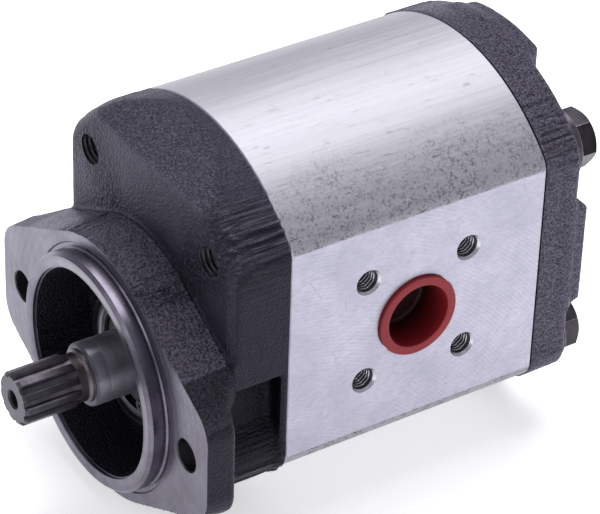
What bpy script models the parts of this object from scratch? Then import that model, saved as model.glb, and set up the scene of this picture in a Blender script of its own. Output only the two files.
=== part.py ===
"""External gear pump: cast front cover with flange, extruded body, cast rear cover, and what they hold.

Frame: the origin is where the drive shaft's axis meets the flange's mounting face. +Y runs along the shaft
into the pump, towards the rear cover, the splined shaft end points along -Y, and +Z points from the drive
gear to the idler gear above it. The two ports are on the flat sides, at +X and -X. Outlines are lists of
(x, z) points, and turned profiles are lists of (y, r) points, where r is the distance from the piece's axis.
"""

import math

import bmesh
import bpy

MM = 0.001
GAP = 0.3 * MM
OVERLAP = 2.0 * MM

# Gears
GEAR_TEETH = 12
CENTRE_DISTANCE = 42.6 * MM
PRESSURE_ANGLE = math.radians(25.0)
PITCH_RADIUS = CENTRE_DISTANCE / 2
GEAR_MODULE = CENTRE_DISTANCE / GEAR_TEETH
TIP_RADIUS = PITCH_RADIUS + GEAR_MODULE
ROOT_RADIUS = PITCH_RADIUS - 1.25 * GEAR_MODULE
BACKLASH = 0.3 * MM
GEAR_WIDTH = 50.0 * MM
MID_Z = CENTRE_DISTANCE / 2

# Stations along the shaft axis
PILOT_FRONT_Y = -6.0 * MM
EAR_BACK_Y = 10.4 * MM
BLOCK_FRONT_Y = 17.3 * MM
PLATE_FRONT_Y = 36.6 * MM
FRONT_JOINT_Y = 38.8 * MM
REAR_JOINT_Y = 137.5 * MM
SEAT_Y = 151.0 * MM
CROSS_BACK_Y = 157.0 * MM
BODY_FRONT_Y = FRONT_JOINT_Y + GAP
BODY_REAR_Y = REAR_JOINT_Y - GAP
BODY_MID_Y = (FRONT_JOINT_Y + REAR_JOINT_Y) / 2
GEAR_FRONT_Y = BODY_MID_Y - GEAR_WIDTH / 2
GEAR_REAR_Y = BODY_MID_Y + GEAR_WIDTH / 2

# Outline that the body, the rear cover and the front cover's plate and block share
HALF_WIDTH = 51.3 * MM
DOME_RADIUS = 68.0 * MM
DOME_OFFSET = 3.3 * MM
SHOULDER_RADIUS = 9.0 * MM
REAR_COVER_PROUD = 0.4 * MM

# Mounting flange and pilot, two-bolt pattern on a 106.4 mm line
FLANGE_RADIUS = 46.7 * MM
EAR_HALF_SPAN = 65.9 * MM
EAR_CORNER_RADIUS = 12.0 * MM
EAR_SLOPE_DEG = 62.0
FLANGE_DRAFT = 1.5 * MM
FLANGE_HOLE_X = 53.2 * MM
FLANGE_HOLE_RADIUS = 5.6 * MM
PILOT_RADIUS = 41.275 * MM
PILOT_CHAMFER = 1.0 * MM

# Front cover's hollow, neck, block and bosses
HOLLOW_RADIUS = 35.6 * MM
HOLLOW_FLOOR_Y = 18.0 * MM
SEAL_BOSS_RADIUS = 24.5 * MM
SEAL_BOSS_FRONT_Y = 9.4 * MM
NECK_RADIUS = 44.0 * MM
BLOCK_BOTTOM_Z = 15.5 * MM
SLOPE_LOW = (17.3 * MM, 74.0 * MM)
SLOPE_HIGH = (34.5 * MM, 86.0 * MM)
GUSSET_TOP_Z = 21.0 * MM
GUSSET_REACH_X = 61.0 * MM
GUSSET_LENGTH = 11.0 * MM

# Shaft
SHAFT_RADIUS = 10.9 * MM
SHAFT_END_Y = -33.0 * MM
SPLINE_TEETH = 11
SPLINE_TIP_RADIUS = 9.3 * MM
SPLINE_ROOT_RADIUS = 7.75 * MM
SPLINE_PITCH_RADIUS = 8.73 * MM
SPLINE_CHAMFER = 1.1 * MM
SPLINE_END_Y = -12.2 * MM
NECK_SHAFT_RADIUS = 8.3 * MM
COLLAR_Y = -7.5 * MM
NECK_FILLET = 0.9 * MM
CENTRE_HOLE_RADIUS = 3.1 * MM
CENTRE_HOLE_DEPTH = 5.0 * MM
JOURNAL_REAR_Y = 136.3 * MM
JOURNAL_CHAMFER = 0.5 * MM
IDLER_FRONT_Y = 40.2 * MM

# Seal, snap ring and the bores that hold them
SEAL_BORE_RADIUS = 18.8 * MM
SEAL_FRONT_Y = 12.6 * MM
SEAL_REAR_Y = 19.6 * MM
RING_FRONT_Y = 10.9 * MM
RING_THICKNESS = 1.2 * MM
RING_GROOVE_RADIUS = 20.6 * MM
SHAFT_BORE_RADIUS = 12.0 * MM
RING_WIDTH = 3.3 * MM
RING_OPEN_DEG = 14.0
RING_EYE_DEG = 18.0
RING_EYE_RADIUS = 2.0 * MM
RING_EYE_HOLE_RADIUS = 0.7 * MM

# Bearings
BLOCK_BORE_RADIUS = 13.2 * MM
BLOCK_RADIUS = 24.85 * MM
CHAMBER_RADIUS = 25.15 * MM
BUSH_OUTER_RADIUS = 12.9 * MM
BUSH_INNER_RADIUS = 11.2 * MM
BUSH_LENGTH = 22.6 * MM

# Seals in the blocks' outer faces: inner and outer radius of the groove and of the two strips in it
STRIP_GROOVE = (15.0 * MM, 20.6 * MM)
BACKUP_STRIP = (15.3 * MM, 17.5 * MM)
PRESSURE_STRIP = (17.8 * MM, 20.3 * MM)
STRIP_GROOVE_DEPTH = 2.6 * MM
STRIP_THICKNESS = 2.2 * MM
STRIP_REACH_DEG = 100.0
STRIP_WAIST_DEG = 55.0
STRIP_END_GAP_DEG = 3.0
RELIEF_X = 9.0 * MM
RELIEF_RADIUS = 2.6 * MM
RELIEF_DEPTH = 1.5 * MM

# Seals between body and covers
BODY_SEAL_RADIUS = 29.0 * MM
BODY_SEAL_SECTION = 1.1 * MM
BODY_SEAL_GROOVE_HALF = 1.4 * MM
BODY_SEAL_GROOVE_DEPTH = 2.6 * MM

# Tie bolts, washers and dowels
BOLT_X = 37.2 * MM
BOLT_DZ = 37.2 * MM
BOLT_RADIUS = 5.9 * MM
BOLT_HOLE_RADIUS = 6.4 * MM
BOLT_THREAD_HOLE_RADIUS = 6.2 * MM
BOLT_END_Y = 24.0 * MM
BLIND_HOLE_END_Y = 22.0 * MM
BOLT_BOSS_RADIUS = 12.9 * MM
HEAD_ACROSS_FLATS = 18.0 * MM
HEAD_HEIGHT = 7.5 * MM
HEAD_CHAMFER = 0.9 * MM
WASHER_RADIUS = 12.0 * MM
WASHER_THICKNESS = 2.5 * MM
BOLT_TURNS_DEG = {"upper_right": -2.5, "lower_right": -27.7, "upper_left": 14.0, "lower_left": 41.0}
DOWEL_X = 41.0 * MM
DOWEL_RADIUS = 4.0 * MM
DOWEL_LENGTH = 15.6 * MM
DOWEL_HOLE_RADIUS = 4.3 * MM
DOWEL_HOLE_DEPTH = 8.0 * MM

# Ports
PORT_RADIUS = 13.3 * MM
PORT_SPOT_RADIUS = 15.1 * MM
PORT_SPOT_DEPTH = 0.8 * MM
PORT_INNER_X = 8.0 * MM
PORT_BOLT_HALF = 38.89 / 2 * MM
PORT_BOLT_RADIUS = 4.0 * MM
PORT_BOLT_DEPTH = 15.0 * MM
PLUG_FLANGE_RADIUS = 14.75 * MM
PLUG_OUTER_RADIUS = 12.95 * MM
PLUG_INNER_RADIUS = 11.55 * MM
PLUG_PROUD = 1.4 * MM
PLUG_DEPTH = 14.0 * MM
PLUG_WALL = 1.5 * MM

# Rear cover's raised cross
CROSS_HALF_WIDTH = 17.5 * MM
CROSS_HALF_HEIGHT = 18.5 * MM
CROSS_DRAFT = 2.5 * MM
CROSS_SIDE_INSET = 0.8 * MM
CROSS_SIDE_DRAFT = 0.2

# Facets
LARGE_ROUND = 48
ROUND = 32
SMALL_ROUND = 20
HOLE_ROUND = 16

# Finish: colour, roughness, metallic
FINISHES = {
    "cast_iron": ((0.066, 0.060, 0.072), 0.62, 0.55),
    "aluminium": ((0.62, 0.60, 0.66), 0.42, 0.9),
    "steel": ((0.30, 0.29, 0.33), 0.30, 1.0),
    "bolt_steel": ((0.36, 0.35, 0.39), 0.38, 1.0),
    "bronze": ((0.50, 0.35, 0.18), 0.45, 0.9),
    "rubber": ((0.02, 0.02, 0.02), 0.7, 0.0),
    "backup_plastic": ((0.75, 0.73, 0.68), 0.5, 0.0),
    "red_plastic": ((0.42, 0.03, 0.03), 0.45, 0.0),
}


# ----------------------------------------------------------------------------------------------------
# Outlines
# ----------------------------------------------------------------------------------------------------


def arc(centre_x, centre_z, radius, start_deg, end_deg, steps):
    """Points from the start angle to the end angle, both included."""
    points = []
    for i in range(steps + 1):
        angle = math.radians(start_deg + (end_deg - start_deg) * i / steps)
        points.append((centre_x + radius * math.cos(angle), centre_z + radius * math.sin(angle)))
    return points


def circle(centre_x, centre_z, radius, steps):
    return arc(centre_x, centre_z, radius, 0.0, 360.0, steps)[:-1]


def body_outline(grow=0.0):
    """Flat sides, domed top and bottom, and a shoulder fillet where they meet."""
    half = HALF_WIDTH + grow
    dome = DOME_RADIUS + grow
    top_centre = MID_Z - DOME_OFFSET
    shoulder_x = half - SHOULDER_RADIUS
    shoulder_rise = math.sqrt((dome - SHOULDER_RADIUS) ** 2 - shoulder_x**2)
    turn = math.degrees(math.atan2(shoulder_rise, shoulder_x))
    upper = arc(shoulder_x, top_centre + shoulder_rise, SHOULDER_RADIUS, 0.0, turn, 4)
    upper += arc(0.0, top_centre, dome, turn, 180.0 - turn, 22)[1:-1]
    upper += arc(-shoulder_x, top_centre + shoulder_rise, SHOULDER_RADIUS, 180.0 - turn, 180.0, 4)
    lower = [(-x, 2 * MID_Z - z) for x, z in upper]
    return upper + lower


def block_outline():
    """The part of the body's outline above the block's lower edge."""
    upper = [(x, z) for x, z in body_outline() if z > MID_Z]
    return [(-HALF_WIDTH, BLOCK_BOTTOM_Z), (HALF_WIDTH, BLOCK_BOTTOM_Z)] + upper


def ear_slope_z(x, disc_radius):
    """Height of the sloping edge that is tangent to the flange's disc."""
    slope = math.radians(EAR_SLOPE_DEG)
    return (disc_radius - x * math.cos(slope)) / math.sin(slope)


def flange_outline(grow=0.0):
    """Disc with two ears: each ear's sloping edges are tangent to the disc and to its corner arcs."""
    disc = FLANGE_RADIUS + grow
    corner_x = EAR_HALF_SPAN - EAR_CORNER_RADIUS
    corner_z = ear_slope_z(corner_x, disc - EAR_CORNER_RADIUS)
    right = arc(corner_x, -corner_z, EAR_CORNER_RADIUS, -EAR_SLOPE_DEG, 0.0, 5)
    right += arc(corner_x, corner_z, EAR_CORNER_RADIUS, 0.0, EAR_SLOPE_DEG, 5)
    right += arc(0.0, 0.0, disc, EAR_SLOPE_DEG, 180.0 - EAR_SLOPE_DEG, 10)
    left = [(-x, -z) for x, z in right]
    return right + left


def slab_outline(grow=0.0):
    """The flange's outline above the block's lower edge, no wider than the block."""
    disc = FLANGE_RADIUS + grow
    half = HALF_WIDTH - GAP
    edge_z = ear_slope_z(half, disc)
    crown = arc(0.0, 0.0, disc, EAR_SLOPE_DEG, 180.0 - EAR_SLOPE_DEG, 10)
    bottom = BLOCK_BOTTOM_Z + GAP
    return [(-half, bottom), (half, bottom), (half, edge_z)] + crown + [(-half, edge_z)]


def figure_eight(radius, steps=22):
    """Two circles of one radius about the two gear axes, as one outline."""
    cusp = math.degrees(math.asin(MID_Z / radius))
    lower = arc(0.0, 0.0, radius, -180.0 - cusp, cusp, steps)
    upper = arc(0.0, CENTRE_DISTANCE, radius, -cusp, 180.0 + cusp, steps)
    return lower + upper[1:-1]


def stadium(radius, steps=12):
    """A loop round both gear axes."""
    upper = arc(0.0, CENTRE_DISTANCE, radius, 0.0, 180.0, steps)
    lower = arc(0.0, 0.0, radius, 180.0, 360.0, steps)
    return upper + lower


def three_outline(radii, steps=9):
    """A strip shaped like a 3, open towards -X, that runs round both shafts between two radii."""
    inner, outer = radii
    sides = []
    for radius in (outer, inner):
        upper = arc(0.0, CENTRE_DISTANCE, radius, STRIP_REACH_DEG, -STRIP_WAIST_DEG, steps)
        lower = arc(0.0, 0.0, radius, STRIP_WAIST_DEG, -STRIP_REACH_DEG, steps)
        sides.append(upper + lower)
    return sides[0] + sides[1][::-1]


def gear_outline(tooth_deg):
    """Involute teeth with thinned flanks, one tooth centred on the given angle."""
    base = PITCH_RADIUS * math.cos(PRESSURE_ANGLE)
    involute = math.tan(PRESSURE_ANGLE) - PRESSURE_ANGLE
    half_at_pitch = math.pi / (2 * GEAR_TEETH) - BACKLASH / 4 / PITCH_RADIUS
    flank = []
    steps = 5
    for i in range(steps + 1):
        radius = base + (TIP_RADIUS - base) * i / steps
        angle = math.acos(base / radius)
        flank.append((radius, half_at_pitch + involute - (math.tan(angle) - angle)))
    flank = [(ROOT_RADIUS, flank[0][1] + 0.02)] + flank
    tooth = [(radius, -half) for radius, half in flank] + [(radius, half) for radius, half in flank[::-1]]
    points = []
    for i in range(GEAR_TEETH):
        centre = math.radians(tooth_deg) + 2 * math.pi * i / GEAR_TEETH
        points += [(r * math.cos(centre + a), r * math.sin(centre + a)) for r, a in tooth]
    return points


def spline_outline(limit_radius):
    """Straight-sided view of the 30 degree involute spline, its teeth cut off at the limit radius."""
    base = SPLINE_PITCH_RADIUS * math.cos(math.radians(30.0))
    half_at_pitch = math.pi / (2 * SPLINE_TEETH)
    involute = math.tan(math.radians(30.0)) - math.radians(30.0)
    tooth = []
    for radius in (SPLINE_ROOT_RADIUS, SPLINE_PITCH_RADIUS, SPLINE_TIP_RADIUS):
        angle = math.acos(base / radius)
        half = half_at_pitch + involute - (math.tan(angle) - angle)
        tooth.append((min(radius, limit_radius), half))
    tooth = [(radius, -half) for radius, half in tooth] + [(radius, half) for radius, half in tooth[::-1]]
    points = []
    for i in range(SPLINE_TEETH):
        centre = 2 * math.pi * i / SPLINE_TEETH
        points += [(r * math.cos(centre + a), r * math.sin(centre + a)) for r, a in tooth]
    return points


# ----------------------------------------------------------------------------------------------------
# Meshes and objects
# ----------------------------------------------------------------------------------------------------


def new_object(name, bm):
    bmesh.ops.recalc_face_normals(bm, faces=bm.faces[:])
    mesh = bpy.data.meshes.new(name)
    bm.to_mesh(mesh)
    bm.free()
    obj = bpy.data.objects.new(name, mesh)
    bpy.context.scene.collection.objects.link(obj)
    return obj


def loft(name, outline_a, y_a, outline_b, y_b):
    """A closed solid between two outlines that have the same number of points."""
    bm = bmesh.new()
    ring_a = [bm.verts.new((x, y_a, z)) for x, z in outline_a]
    ring_b = [bm.verts.new((x, y_b, z)) for x, z in outline_b]
    bm.faces.new(ring_a)
    bm.faces.new(ring_b[::-1])
    for i in range(len(ring_a)):
        j = (i + 1) % len(ring_a)
        bm.faces.new((ring_a[j], ring_a[i], ring_b[i], ring_b[j]))
    return new_object(name, bm)


def prism(name, outline, y_a, y_b):
    return loft(name, outline, y_a, outline, y_b)


def rod(name, x, z, radius, y_a, y_b, steps=SMALL_ROUND):
    return prism(name, circle(x, z, radius, steps), y_a, y_b)


def band(name, outer, inner, y_a, y_b):
    """A closed ring between two outlines that have the same number of points."""
    bm = bmesh.new()
    rings = []
    for outline, y in ((outer, y_a), (outer, y_b), (inner, y_b), (inner, y_a)):
        rings.append([bm.verts.new((x, y, z)) for x, z in outline])
    for k in range(4):
        ring_a, ring_b = rings[k], rings[(k + 1) % 4]
        for i in range(len(ring_a)):
            j = (i + 1) % len(ring_a)
            bm.faces.new((ring_a[i], ring_a[j], ring_b[j], ring_b[i]))
    return new_object(name, bm)


def turned(name, profile, steps=ROUND):
    """Turns a (y, r) profile about the Y axis. It is a closed loop, or an open run that ends on the axis."""
    bm = bmesh.new()
    rings = []
    for y, r in profile:
        if r == 0.0:
            rings.append([bm.verts.new((0.0, y, 0.0))])
        else:
            rings.append([bm.verts.new((x, y, z)) for x, z in circle(0.0, 0.0, r, steps)])
    closed = profile[0][1] > 0.0
    pairs = list(zip(rings, rings[1:]))
    if closed:
        pairs.append((rings[-1], rings[0]))
    for ring_a, ring_b in pairs:
        for i in range(steps):
            j = (i + 1) % steps
            if len(ring_a) == 1:
                bm.faces.new((ring_a[0], ring_b[i], ring_b[j]))
            elif len(ring_b) == 1:
                bm.faces.new((ring_a[j], ring_a[i], ring_b[0]))
            else:
                bm.faces.new((ring_a[j], ring_a[i], ring_b[i], ring_b[j]))
    return new_object(name, bm)


def combine(target, others, operation):
    """Joins or cuts the target with the others, applies the result and removes them."""
    for other in others:
        modifier = target.modifiers.new(operation, "BOOLEAN")
        modifier.operation = operation
        modifier.solver = "EXACT"
        modifier.object = other
        bpy.context.view_layer.update()
        graph = bpy.context.evaluated_depsgraph_get()
        result = bpy.data.meshes.new_from_object(target.evaluated_get(graph))
        target.modifiers.clear()
        old = target.data
        target.data = result
        bpy.data.meshes.remove(old)
        bpy.data.objects.remove(other)
    return target


def join(target, *others):
    return combine(target, others, "UNION")


def cut(target, *others):
    return combine(target, others, "DIFFERENCE")


def finish(obj, name, finish_name):
    """Names the object, gives it its own material and shades its round faces smooth."""
    obj.name = name
    obj.data.name = name
    colour, roughness, metallic = FINISHES[finish_name]
    material = bpy.data.materials.new(name)
    material.use_nodes = True
    shader = material.node_tree.nodes["Principled BSDF"]
    shader.inputs["Base Color"].default_value = (*colour, 1.0)
    shader.inputs["Roughness"].default_value = roughness
    shader.inputs["Metallic"].default_value = metallic
    obj.data.materials.clear()
    obj.data.materials.append(material)
    obj.data.shade_smooth()
    obj.data.set_sharp_from_angle(angle=math.radians(30.0))
    return obj


def copy_of(obj, name):
    twin = bpy.data.objects.new(name, obj.data)
    bpy.context.scene.collection.objects.link(twin)
    return twin


# ----------------------------------------------------------------------------------------------------
# Covers and body
# ----------------------------------------------------------------------------------------------------


def bolt_places():
    """Name and (x, z) of each tie bolt."""
    places = {}
    for height, z in (("upper", MID_Z + BOLT_DZ), ("lower", MID_Z - BOLT_DZ)):
        for side, x in (("right", BOLT_X), ("left", -BOLT_X)):
            places[f"{height}_{side}"] = (x, z)
    return places


def slope_cutter():
    """Everything above the plane that slopes from the block's front edge up to the dome."""
    low_y, low_z = SLOPE_LOW
    high_y, high_z = SLOPE_HIGH
    rise = (high_z - low_z) / (high_y - low_y)
    reach = 12.0 * MM
    side = HALF_WIDTH + reach
    bm = bmesh.new()
    corners = []
    for x in (-side, side):
        for y, z in (
            (low_y - reach, low_z - rise * reach),
            (high_y + reach, high_z + rise * reach),
            (low_y - reach, high_z + rise * reach + reach),
        ):
            corners.append(bm.verts.new((x, y, z)))
    a, b, c, d, e, f = corners
    for face in ((a, b, c), (d, f, e), (a, d, e, b), (b, e, f, c), (c, f, d, a)):
        bm.faces.new(face)
    return new_object("slope", bm)


def gusset(side):
    """Web between an ear's back and the block's side, with a slanting outer face."""
    inner = HALF_WIDTH - OVERLAP
    plan = [
        (inner, EAR_BACK_Y - OVERLAP),
        (GUSSET_REACH_X, EAR_BACK_Y - OVERLAP),
        (GUSSET_REACH_X, EAR_BACK_Y),
        (HALF_WIDTH - GAP, EAR_BACK_Y + GUSSET_LENGTH),
        (inner, EAR_BACK_Y + GUSSET_LENGTH),
    ]
    bm = bmesh.new()
    low = [bm.verts.new((side * x, y, BLOCK_BOTTOM_Z + 2 * GAP)) for x, y in plan]
    high = [bm.verts.new((side * x, y, GUSSET_TOP_Z)) for x, y in plan]
    bm.faces.new(low)
    bm.faces.new(high[::-1])
    for i in range(len(plan)):
        j = (i + 1) % len(plan)
        bm.faces.new((low[j], low[i], high[i], high[j]))
    return new_object("gusset", bm)


def pilot():
    return turned(
        "pilot",
        [
            (PILOT_FRONT_Y, 0.0),
            (PILOT_FRONT_Y, PILOT_RADIUS - PILOT_CHAMFER),
            (PILOT_FRONT_Y + PILOT_CHAMFER, PILOT_RADIUS),
            (OVERLAP, PILOT_RADIUS),
            (OVERLAP, 0.0),
        ],
        LARGE_ROUND,
    )


def hollow_cutter():
    """The room round the shaft: an annular pocket with the seal boss left standing in its middle."""
    front = PILOT_FRONT_Y - OVERLAP
    return turned(
        "hollow",
        [
            (front, 0.0),
            (front, HOLLOW_RADIUS),
            (HOLLOW_FLOOR_Y, HOLLOW_RADIUS - 1.0 * MM),
            (HOLLOW_FLOOR_Y, SEAL_BOSS_RADIUS + 1.0 * MM),
            (SEAL_BOSS_FRONT_Y, SEAL_BOSS_RADIUS),
            (SEAL_BOSS_FRONT_Y, 0.0),
        ],
        LARGE_ROUND,
    )


def seal_bore_cutter():
    """Bore for the shaft seal, with a groove for its snap ring, and the shaft's passage behind it."""
    groove_end = RING_FRONT_Y + RING_THICKNESS + GAP
    return turned(
        "seal_bore",
        [
            (SEAL_BOSS_FRONT_Y - OVERLAP, 0.0),
            (SEAL_BOSS_FRONT_Y - OVERLAP, SEAL_BORE_RADIUS),
            (RING_FRONT_Y - GAP, SEAL_BORE_RADIUS),
            (RING_FRONT_Y - GAP, RING_GROOVE_RADIUS),
            (groove_end, RING_GROOVE_RADIUS),
            (groove_end, SEAL_BORE_RADIUS),
            (SEAL_REAR_Y + GAP, SEAL_BORE_RADIUS),
            (SEAL_REAR_Y + GAP, SHAFT_BORE_RADIUS),
            (FRONT_JOINT_Y + OVERLAP, SHAFT_BORE_RADIUS),
            (FRONT_JOINT_Y + OVERLAP, 0.0),
        ],
    )


def dowel_cutter(side, y_a, y_b):
    return rod("dowel_hole", side * DOWEL_X, MID_Z, DOWEL_HOLE_RADIUS, y_a, y_b, HOLE_ROUND)


def front_cover():
    """Flange, neck, upper block and plate in one casting, with the hollow round the shaft."""
    back = FRONT_JOINT_Y
    cover = prism("plate", body_outline(), PLATE_FRONT_Y, back)
    block = prism("block", block_outline(), BLOCK_FRONT_Y, PLATE_FRONT_Y + OVERLAP)
    slab_back = BLOCK_FRONT_Y + OVERLAP
    slab = loft("slab", slab_outline(), OVERLAP, slab_outline(FLANGE_DRAFT), slab_back)
    flange = loft("flange", flange_outline(), 0.0, flange_outline(FLANGE_DRAFT / 2), EAR_BACK_Y)
    neck_ends = (EAR_BACK_Y - OVERLAP, PLATE_FRONT_Y + OVERLAP)
    neck = rod("neck", 0.0, 0.0, NECK_RADIUS, *neck_ends, LARGE_ROUND)
    bosses = []
    for name, (x, z) in bolt_places().items():
        if z < 0.0:
            bosses.append(rod(name, x, z, BOLT_BOSS_RADIUS, *neck_ends))
    join(cover, block, neck, *bosses, flange, slab, gusset(1), gusset(-1), pilot())
    cut(cover, slope_cutter(), hollow_cutter(), seal_bore_cutter())
    for side in (1, -1):
        hole = rod("ear_hole", side * FLANGE_HOLE_X, 0.0, FLANGE_HOLE_RADIUS, -OVERLAP, EAR_BACK_Y + OVERLAP)
        cut(cover, hole, dowel_cutter(side, back - DOWEL_HOLE_DEPTH, back + OVERLAP))
    for x, z in bolt_places().values():
        front = BLOCK_FRONT_Y - OVERLAP if z > 0.0 else BLIND_HOLE_END_Y
        cut(cover, rod("bolt_hole", x, z, BOLT_THREAD_HOLE_RADIUS, front, back + OVERLAP, HOLE_ROUND))
    return finish(cover, "front_cover", "cast_iron")


def port_cutter(side):
    """Port bore with a shallow spot face, turned about Y and then swung to face +X or -X."""
    face = HALF_WIDTH
    cutter = turned(
        "port",
        [
            (PORT_INNER_X, 0.0),
            (PORT_INNER_X, PORT_RADIUS),
            (face - PORT_SPOT_DEPTH, PORT_RADIUS),
            (face - PORT_SPOT_DEPTH, PORT_SPOT_RADIUS),
            (face + OVERLAP, PORT_SPOT_RADIUS),
            (face + OVERLAP, 0.0),
        ],
    )
    swing(cutter, side)
    cutter.location = (0.0, BODY_MID_Y, MID_Z)
    return cutter


def swing(obj, side):
    """Turns a piece made along +Y so that it points along +X or -X."""
    obj.rotation_euler = (0.0, 0.0, -side * math.pi / 2)


def port_bolt_cutters(side):
    cutters = []
    ends = (HALF_WIDTH - PORT_BOLT_DEPTH, HALF_WIDTH + OVERLAP)
    for dy in (-PORT_BOLT_HALF, PORT_BOLT_HALF):
        for dz in (-PORT_BOLT_HALF, PORT_BOLT_HALF):
            cutter = rod("port_bolt", 0.0, 0.0, PORT_BOLT_RADIUS, *ends, HOLE_ROUND)
            swing(cutter, side)
            cutter.location = (0.0, BODY_MID_Y + dy, MID_Z + dz)
            cutters.append(cutter)
    return cutters


def seal_groove_cutter(y_a, y_b):
    outer = stadium(BODY_SEAL_RADIUS + BODY_SEAL_GROOVE_HALF)
    inner = stadium(BODY_SEAL_RADIUS - BODY_SEAL_GROOVE_HALF)
    return band("seal_groove", outer, inner, y_a, y_b)


def pump_body():
    """Extrusion with the gear chamber right through it, the two ports and the holes for bolts and dowels."""
    front, rear = BODY_FRONT_Y - OVERLAP, BODY_REAR_Y + OVERLAP
    body = prism("body", body_outline(), BODY_FRONT_Y, BODY_REAR_Y)
    cut(body, prism("chamber", figure_eight(CHAMBER_RADIUS), front, rear))
    cut(body, seal_groove_cutter(front, BODY_FRONT_Y + BODY_SEAL_GROOVE_DEPTH))
    cut(body, seal_groove_cutter(BODY_REAR_Y - BODY_SEAL_GROOVE_DEPTH, rear))
    for x, z in bolt_places().values():
        cut(body, rod("bolt_hole", x, z, BOLT_HOLE_RADIUS, front, rear, HOLE_ROUND))
    for side in (1, -1):
        cut(body, dowel_cutter(side, front, BODY_FRONT_Y + DOWEL_HOLE_DEPTH))
        cut(body, dowel_cutter(side, BODY_REAR_Y - DOWEL_HOLE_DEPTH, rear))
        cut(body, port_cutter(side), *port_bolt_cutters(side))
    return finish(body, "pump_body", "aluminium")


def cross_upright(grow):
    """Outline of the cross's upright arm: straight sides, and domed ends that follow the cover's own dome."""
    crown = math.degrees(math.asin(CROSS_HALF_WIDTH / DOME_RADIUS))
    scale = (CROSS_HALF_WIDTH + grow) / CROSS_HALF_WIDTH
    top = arc(0.0, MID_Z - DOME_OFFSET, DOME_RADIUS, 90.0 - crown, 90.0 + crown, 8)
    top = [(x * scale, z) for x, z in top]
    return top + [(-x, 2 * MID_Z - z) for x, z in top]


def cross_bar(grow):
    """Outline of the cross's bar, the higher its base the wider."""
    half = HALF_WIDTH - CROSS_SIDE_INSET + grow * CROSS_SIDE_DRAFT
    height = CROSS_HALF_HEIGHT + grow
    high, low = MID_Z + height, MID_Z - height
    return [(half, high), (-half, high), (-half, low), (half, low)]


def rear_cover():
    """Plate with a raised cross whose arms leave a low seat for each bolt head."""
    front = REAR_JOINT_Y
    cover = prism("plate", body_outline(REAR_COVER_PROUD), front, SEAT_Y)
    base_y = SEAT_Y - OVERLAP
    join(cover, loft("upright", cross_upright(CROSS_DRAFT), base_y, cross_upright(0.0), CROSS_BACK_Y))
    join(cover, loft("bar", cross_bar(CROSS_DRAFT), base_y, cross_bar(0.0), CROSS_BACK_Y))
    for x, z in bolt_places().values():
        cut(cover, rod("bolt_hole", x, z, BOLT_HOLE_RADIUS, front - OVERLAP, SEAT_Y + OVERLAP, HOLE_ROUND))
    for side in (1, -1):
        cut(cover, dowel_cutter(side, front - OVERLAP, front + DOWEL_HOLE_DEPTH))
    return finish(cover, "rear_cover", "cast_iron")


# ----------------------------------------------------------------------------------------------------
# Gears, bearings and seals
# ----------------------------------------------------------------------------------------------------


def spline_end():
    """The splined length with a chamfer all round its free end."""
    chamfer_y = SHAFT_END_Y + SPLINE_CHAMFER
    tip = spline_outline(SPLINE_TIP_RADIUS)
    start = spline_outline(SPLINE_TIP_RADIUS - SPLINE_CHAMFER)
    bm = bmesh.new()
    rings = []
    for outline, y in ((start, SHAFT_END_Y), (tip, chamfer_y), (tip, SPLINE_END_Y)):
        rings.append([bm.verts.new((x, y, z)) for x, z in outline])
    bm.faces.new(rings[0])
    bm.faces.new(rings[-1][::-1])
    for ring_a, ring_b in zip(rings, rings[1:]):
        for i in range(len(ring_a)):
            j = (i + 1) % len(ring_a)
            bm.faces.new((ring_a[j], ring_a[i], ring_b[i], ring_b[j]))
    return new_object("spline", bm)


def centre_hole():
    front = SHAFT_END_Y - OVERLAP
    floor = SHAFT_END_Y + CENTRE_HOLE_DEPTH
    profile = [
        (front, 0.0),
        (front, CENTRE_HOLE_RADIUS),
        (floor, CENTRE_HOLE_RADIUS * 0.8),
        (floor + CENTRE_HOLE_RADIUS / 2, 0.0),
    ]
    return turned("centre_hole", profile, HOLE_ROUND)


def drive_gear_shaft():
    """Gear, journals, seal collar, neck and spline in one piece, turning about the origin's Y axis."""
    inside_spline_y = (SHAFT_END_Y + SPLINE_END_Y) / 2
    shaft = turned(
        "shaft",
        [
            (inside_spline_y, 0.0),
            (inside_spline_y, SPLINE_ROOT_RADIUS - OVERLAP),
            (SPLINE_END_Y - NECK_FILLET, NECK_SHAFT_RADIUS),
            (COLLAR_Y - NECK_FILLET, NECK_SHAFT_RADIUS),
            (COLLAR_Y, NECK_SHAFT_RADIUS + NECK_FILLET),
            (COLLAR_Y, SHAFT_RADIUS - JOURNAL_CHAMFER),
            (COLLAR_Y + JOURNAL_CHAMFER, SHAFT_RADIUS),
            (JOURNAL_REAR_Y - JOURNAL_CHAMFER, SHAFT_RADIUS),
            (JOURNAL_REAR_Y, SHAFT_RADIUS - JOURNAL_CHAMFER),
            (JOURNAL_REAR_Y, 0.0),
        ],
    )
    join(shaft, spline_end(), prism("gear", gear_outline(90.0), GEAR_FRONT_Y, GEAR_REAR_Y))
    cut(shaft, centre_hole())
    return finish(shaft, "drive_gear_shaft", "steel")


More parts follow.
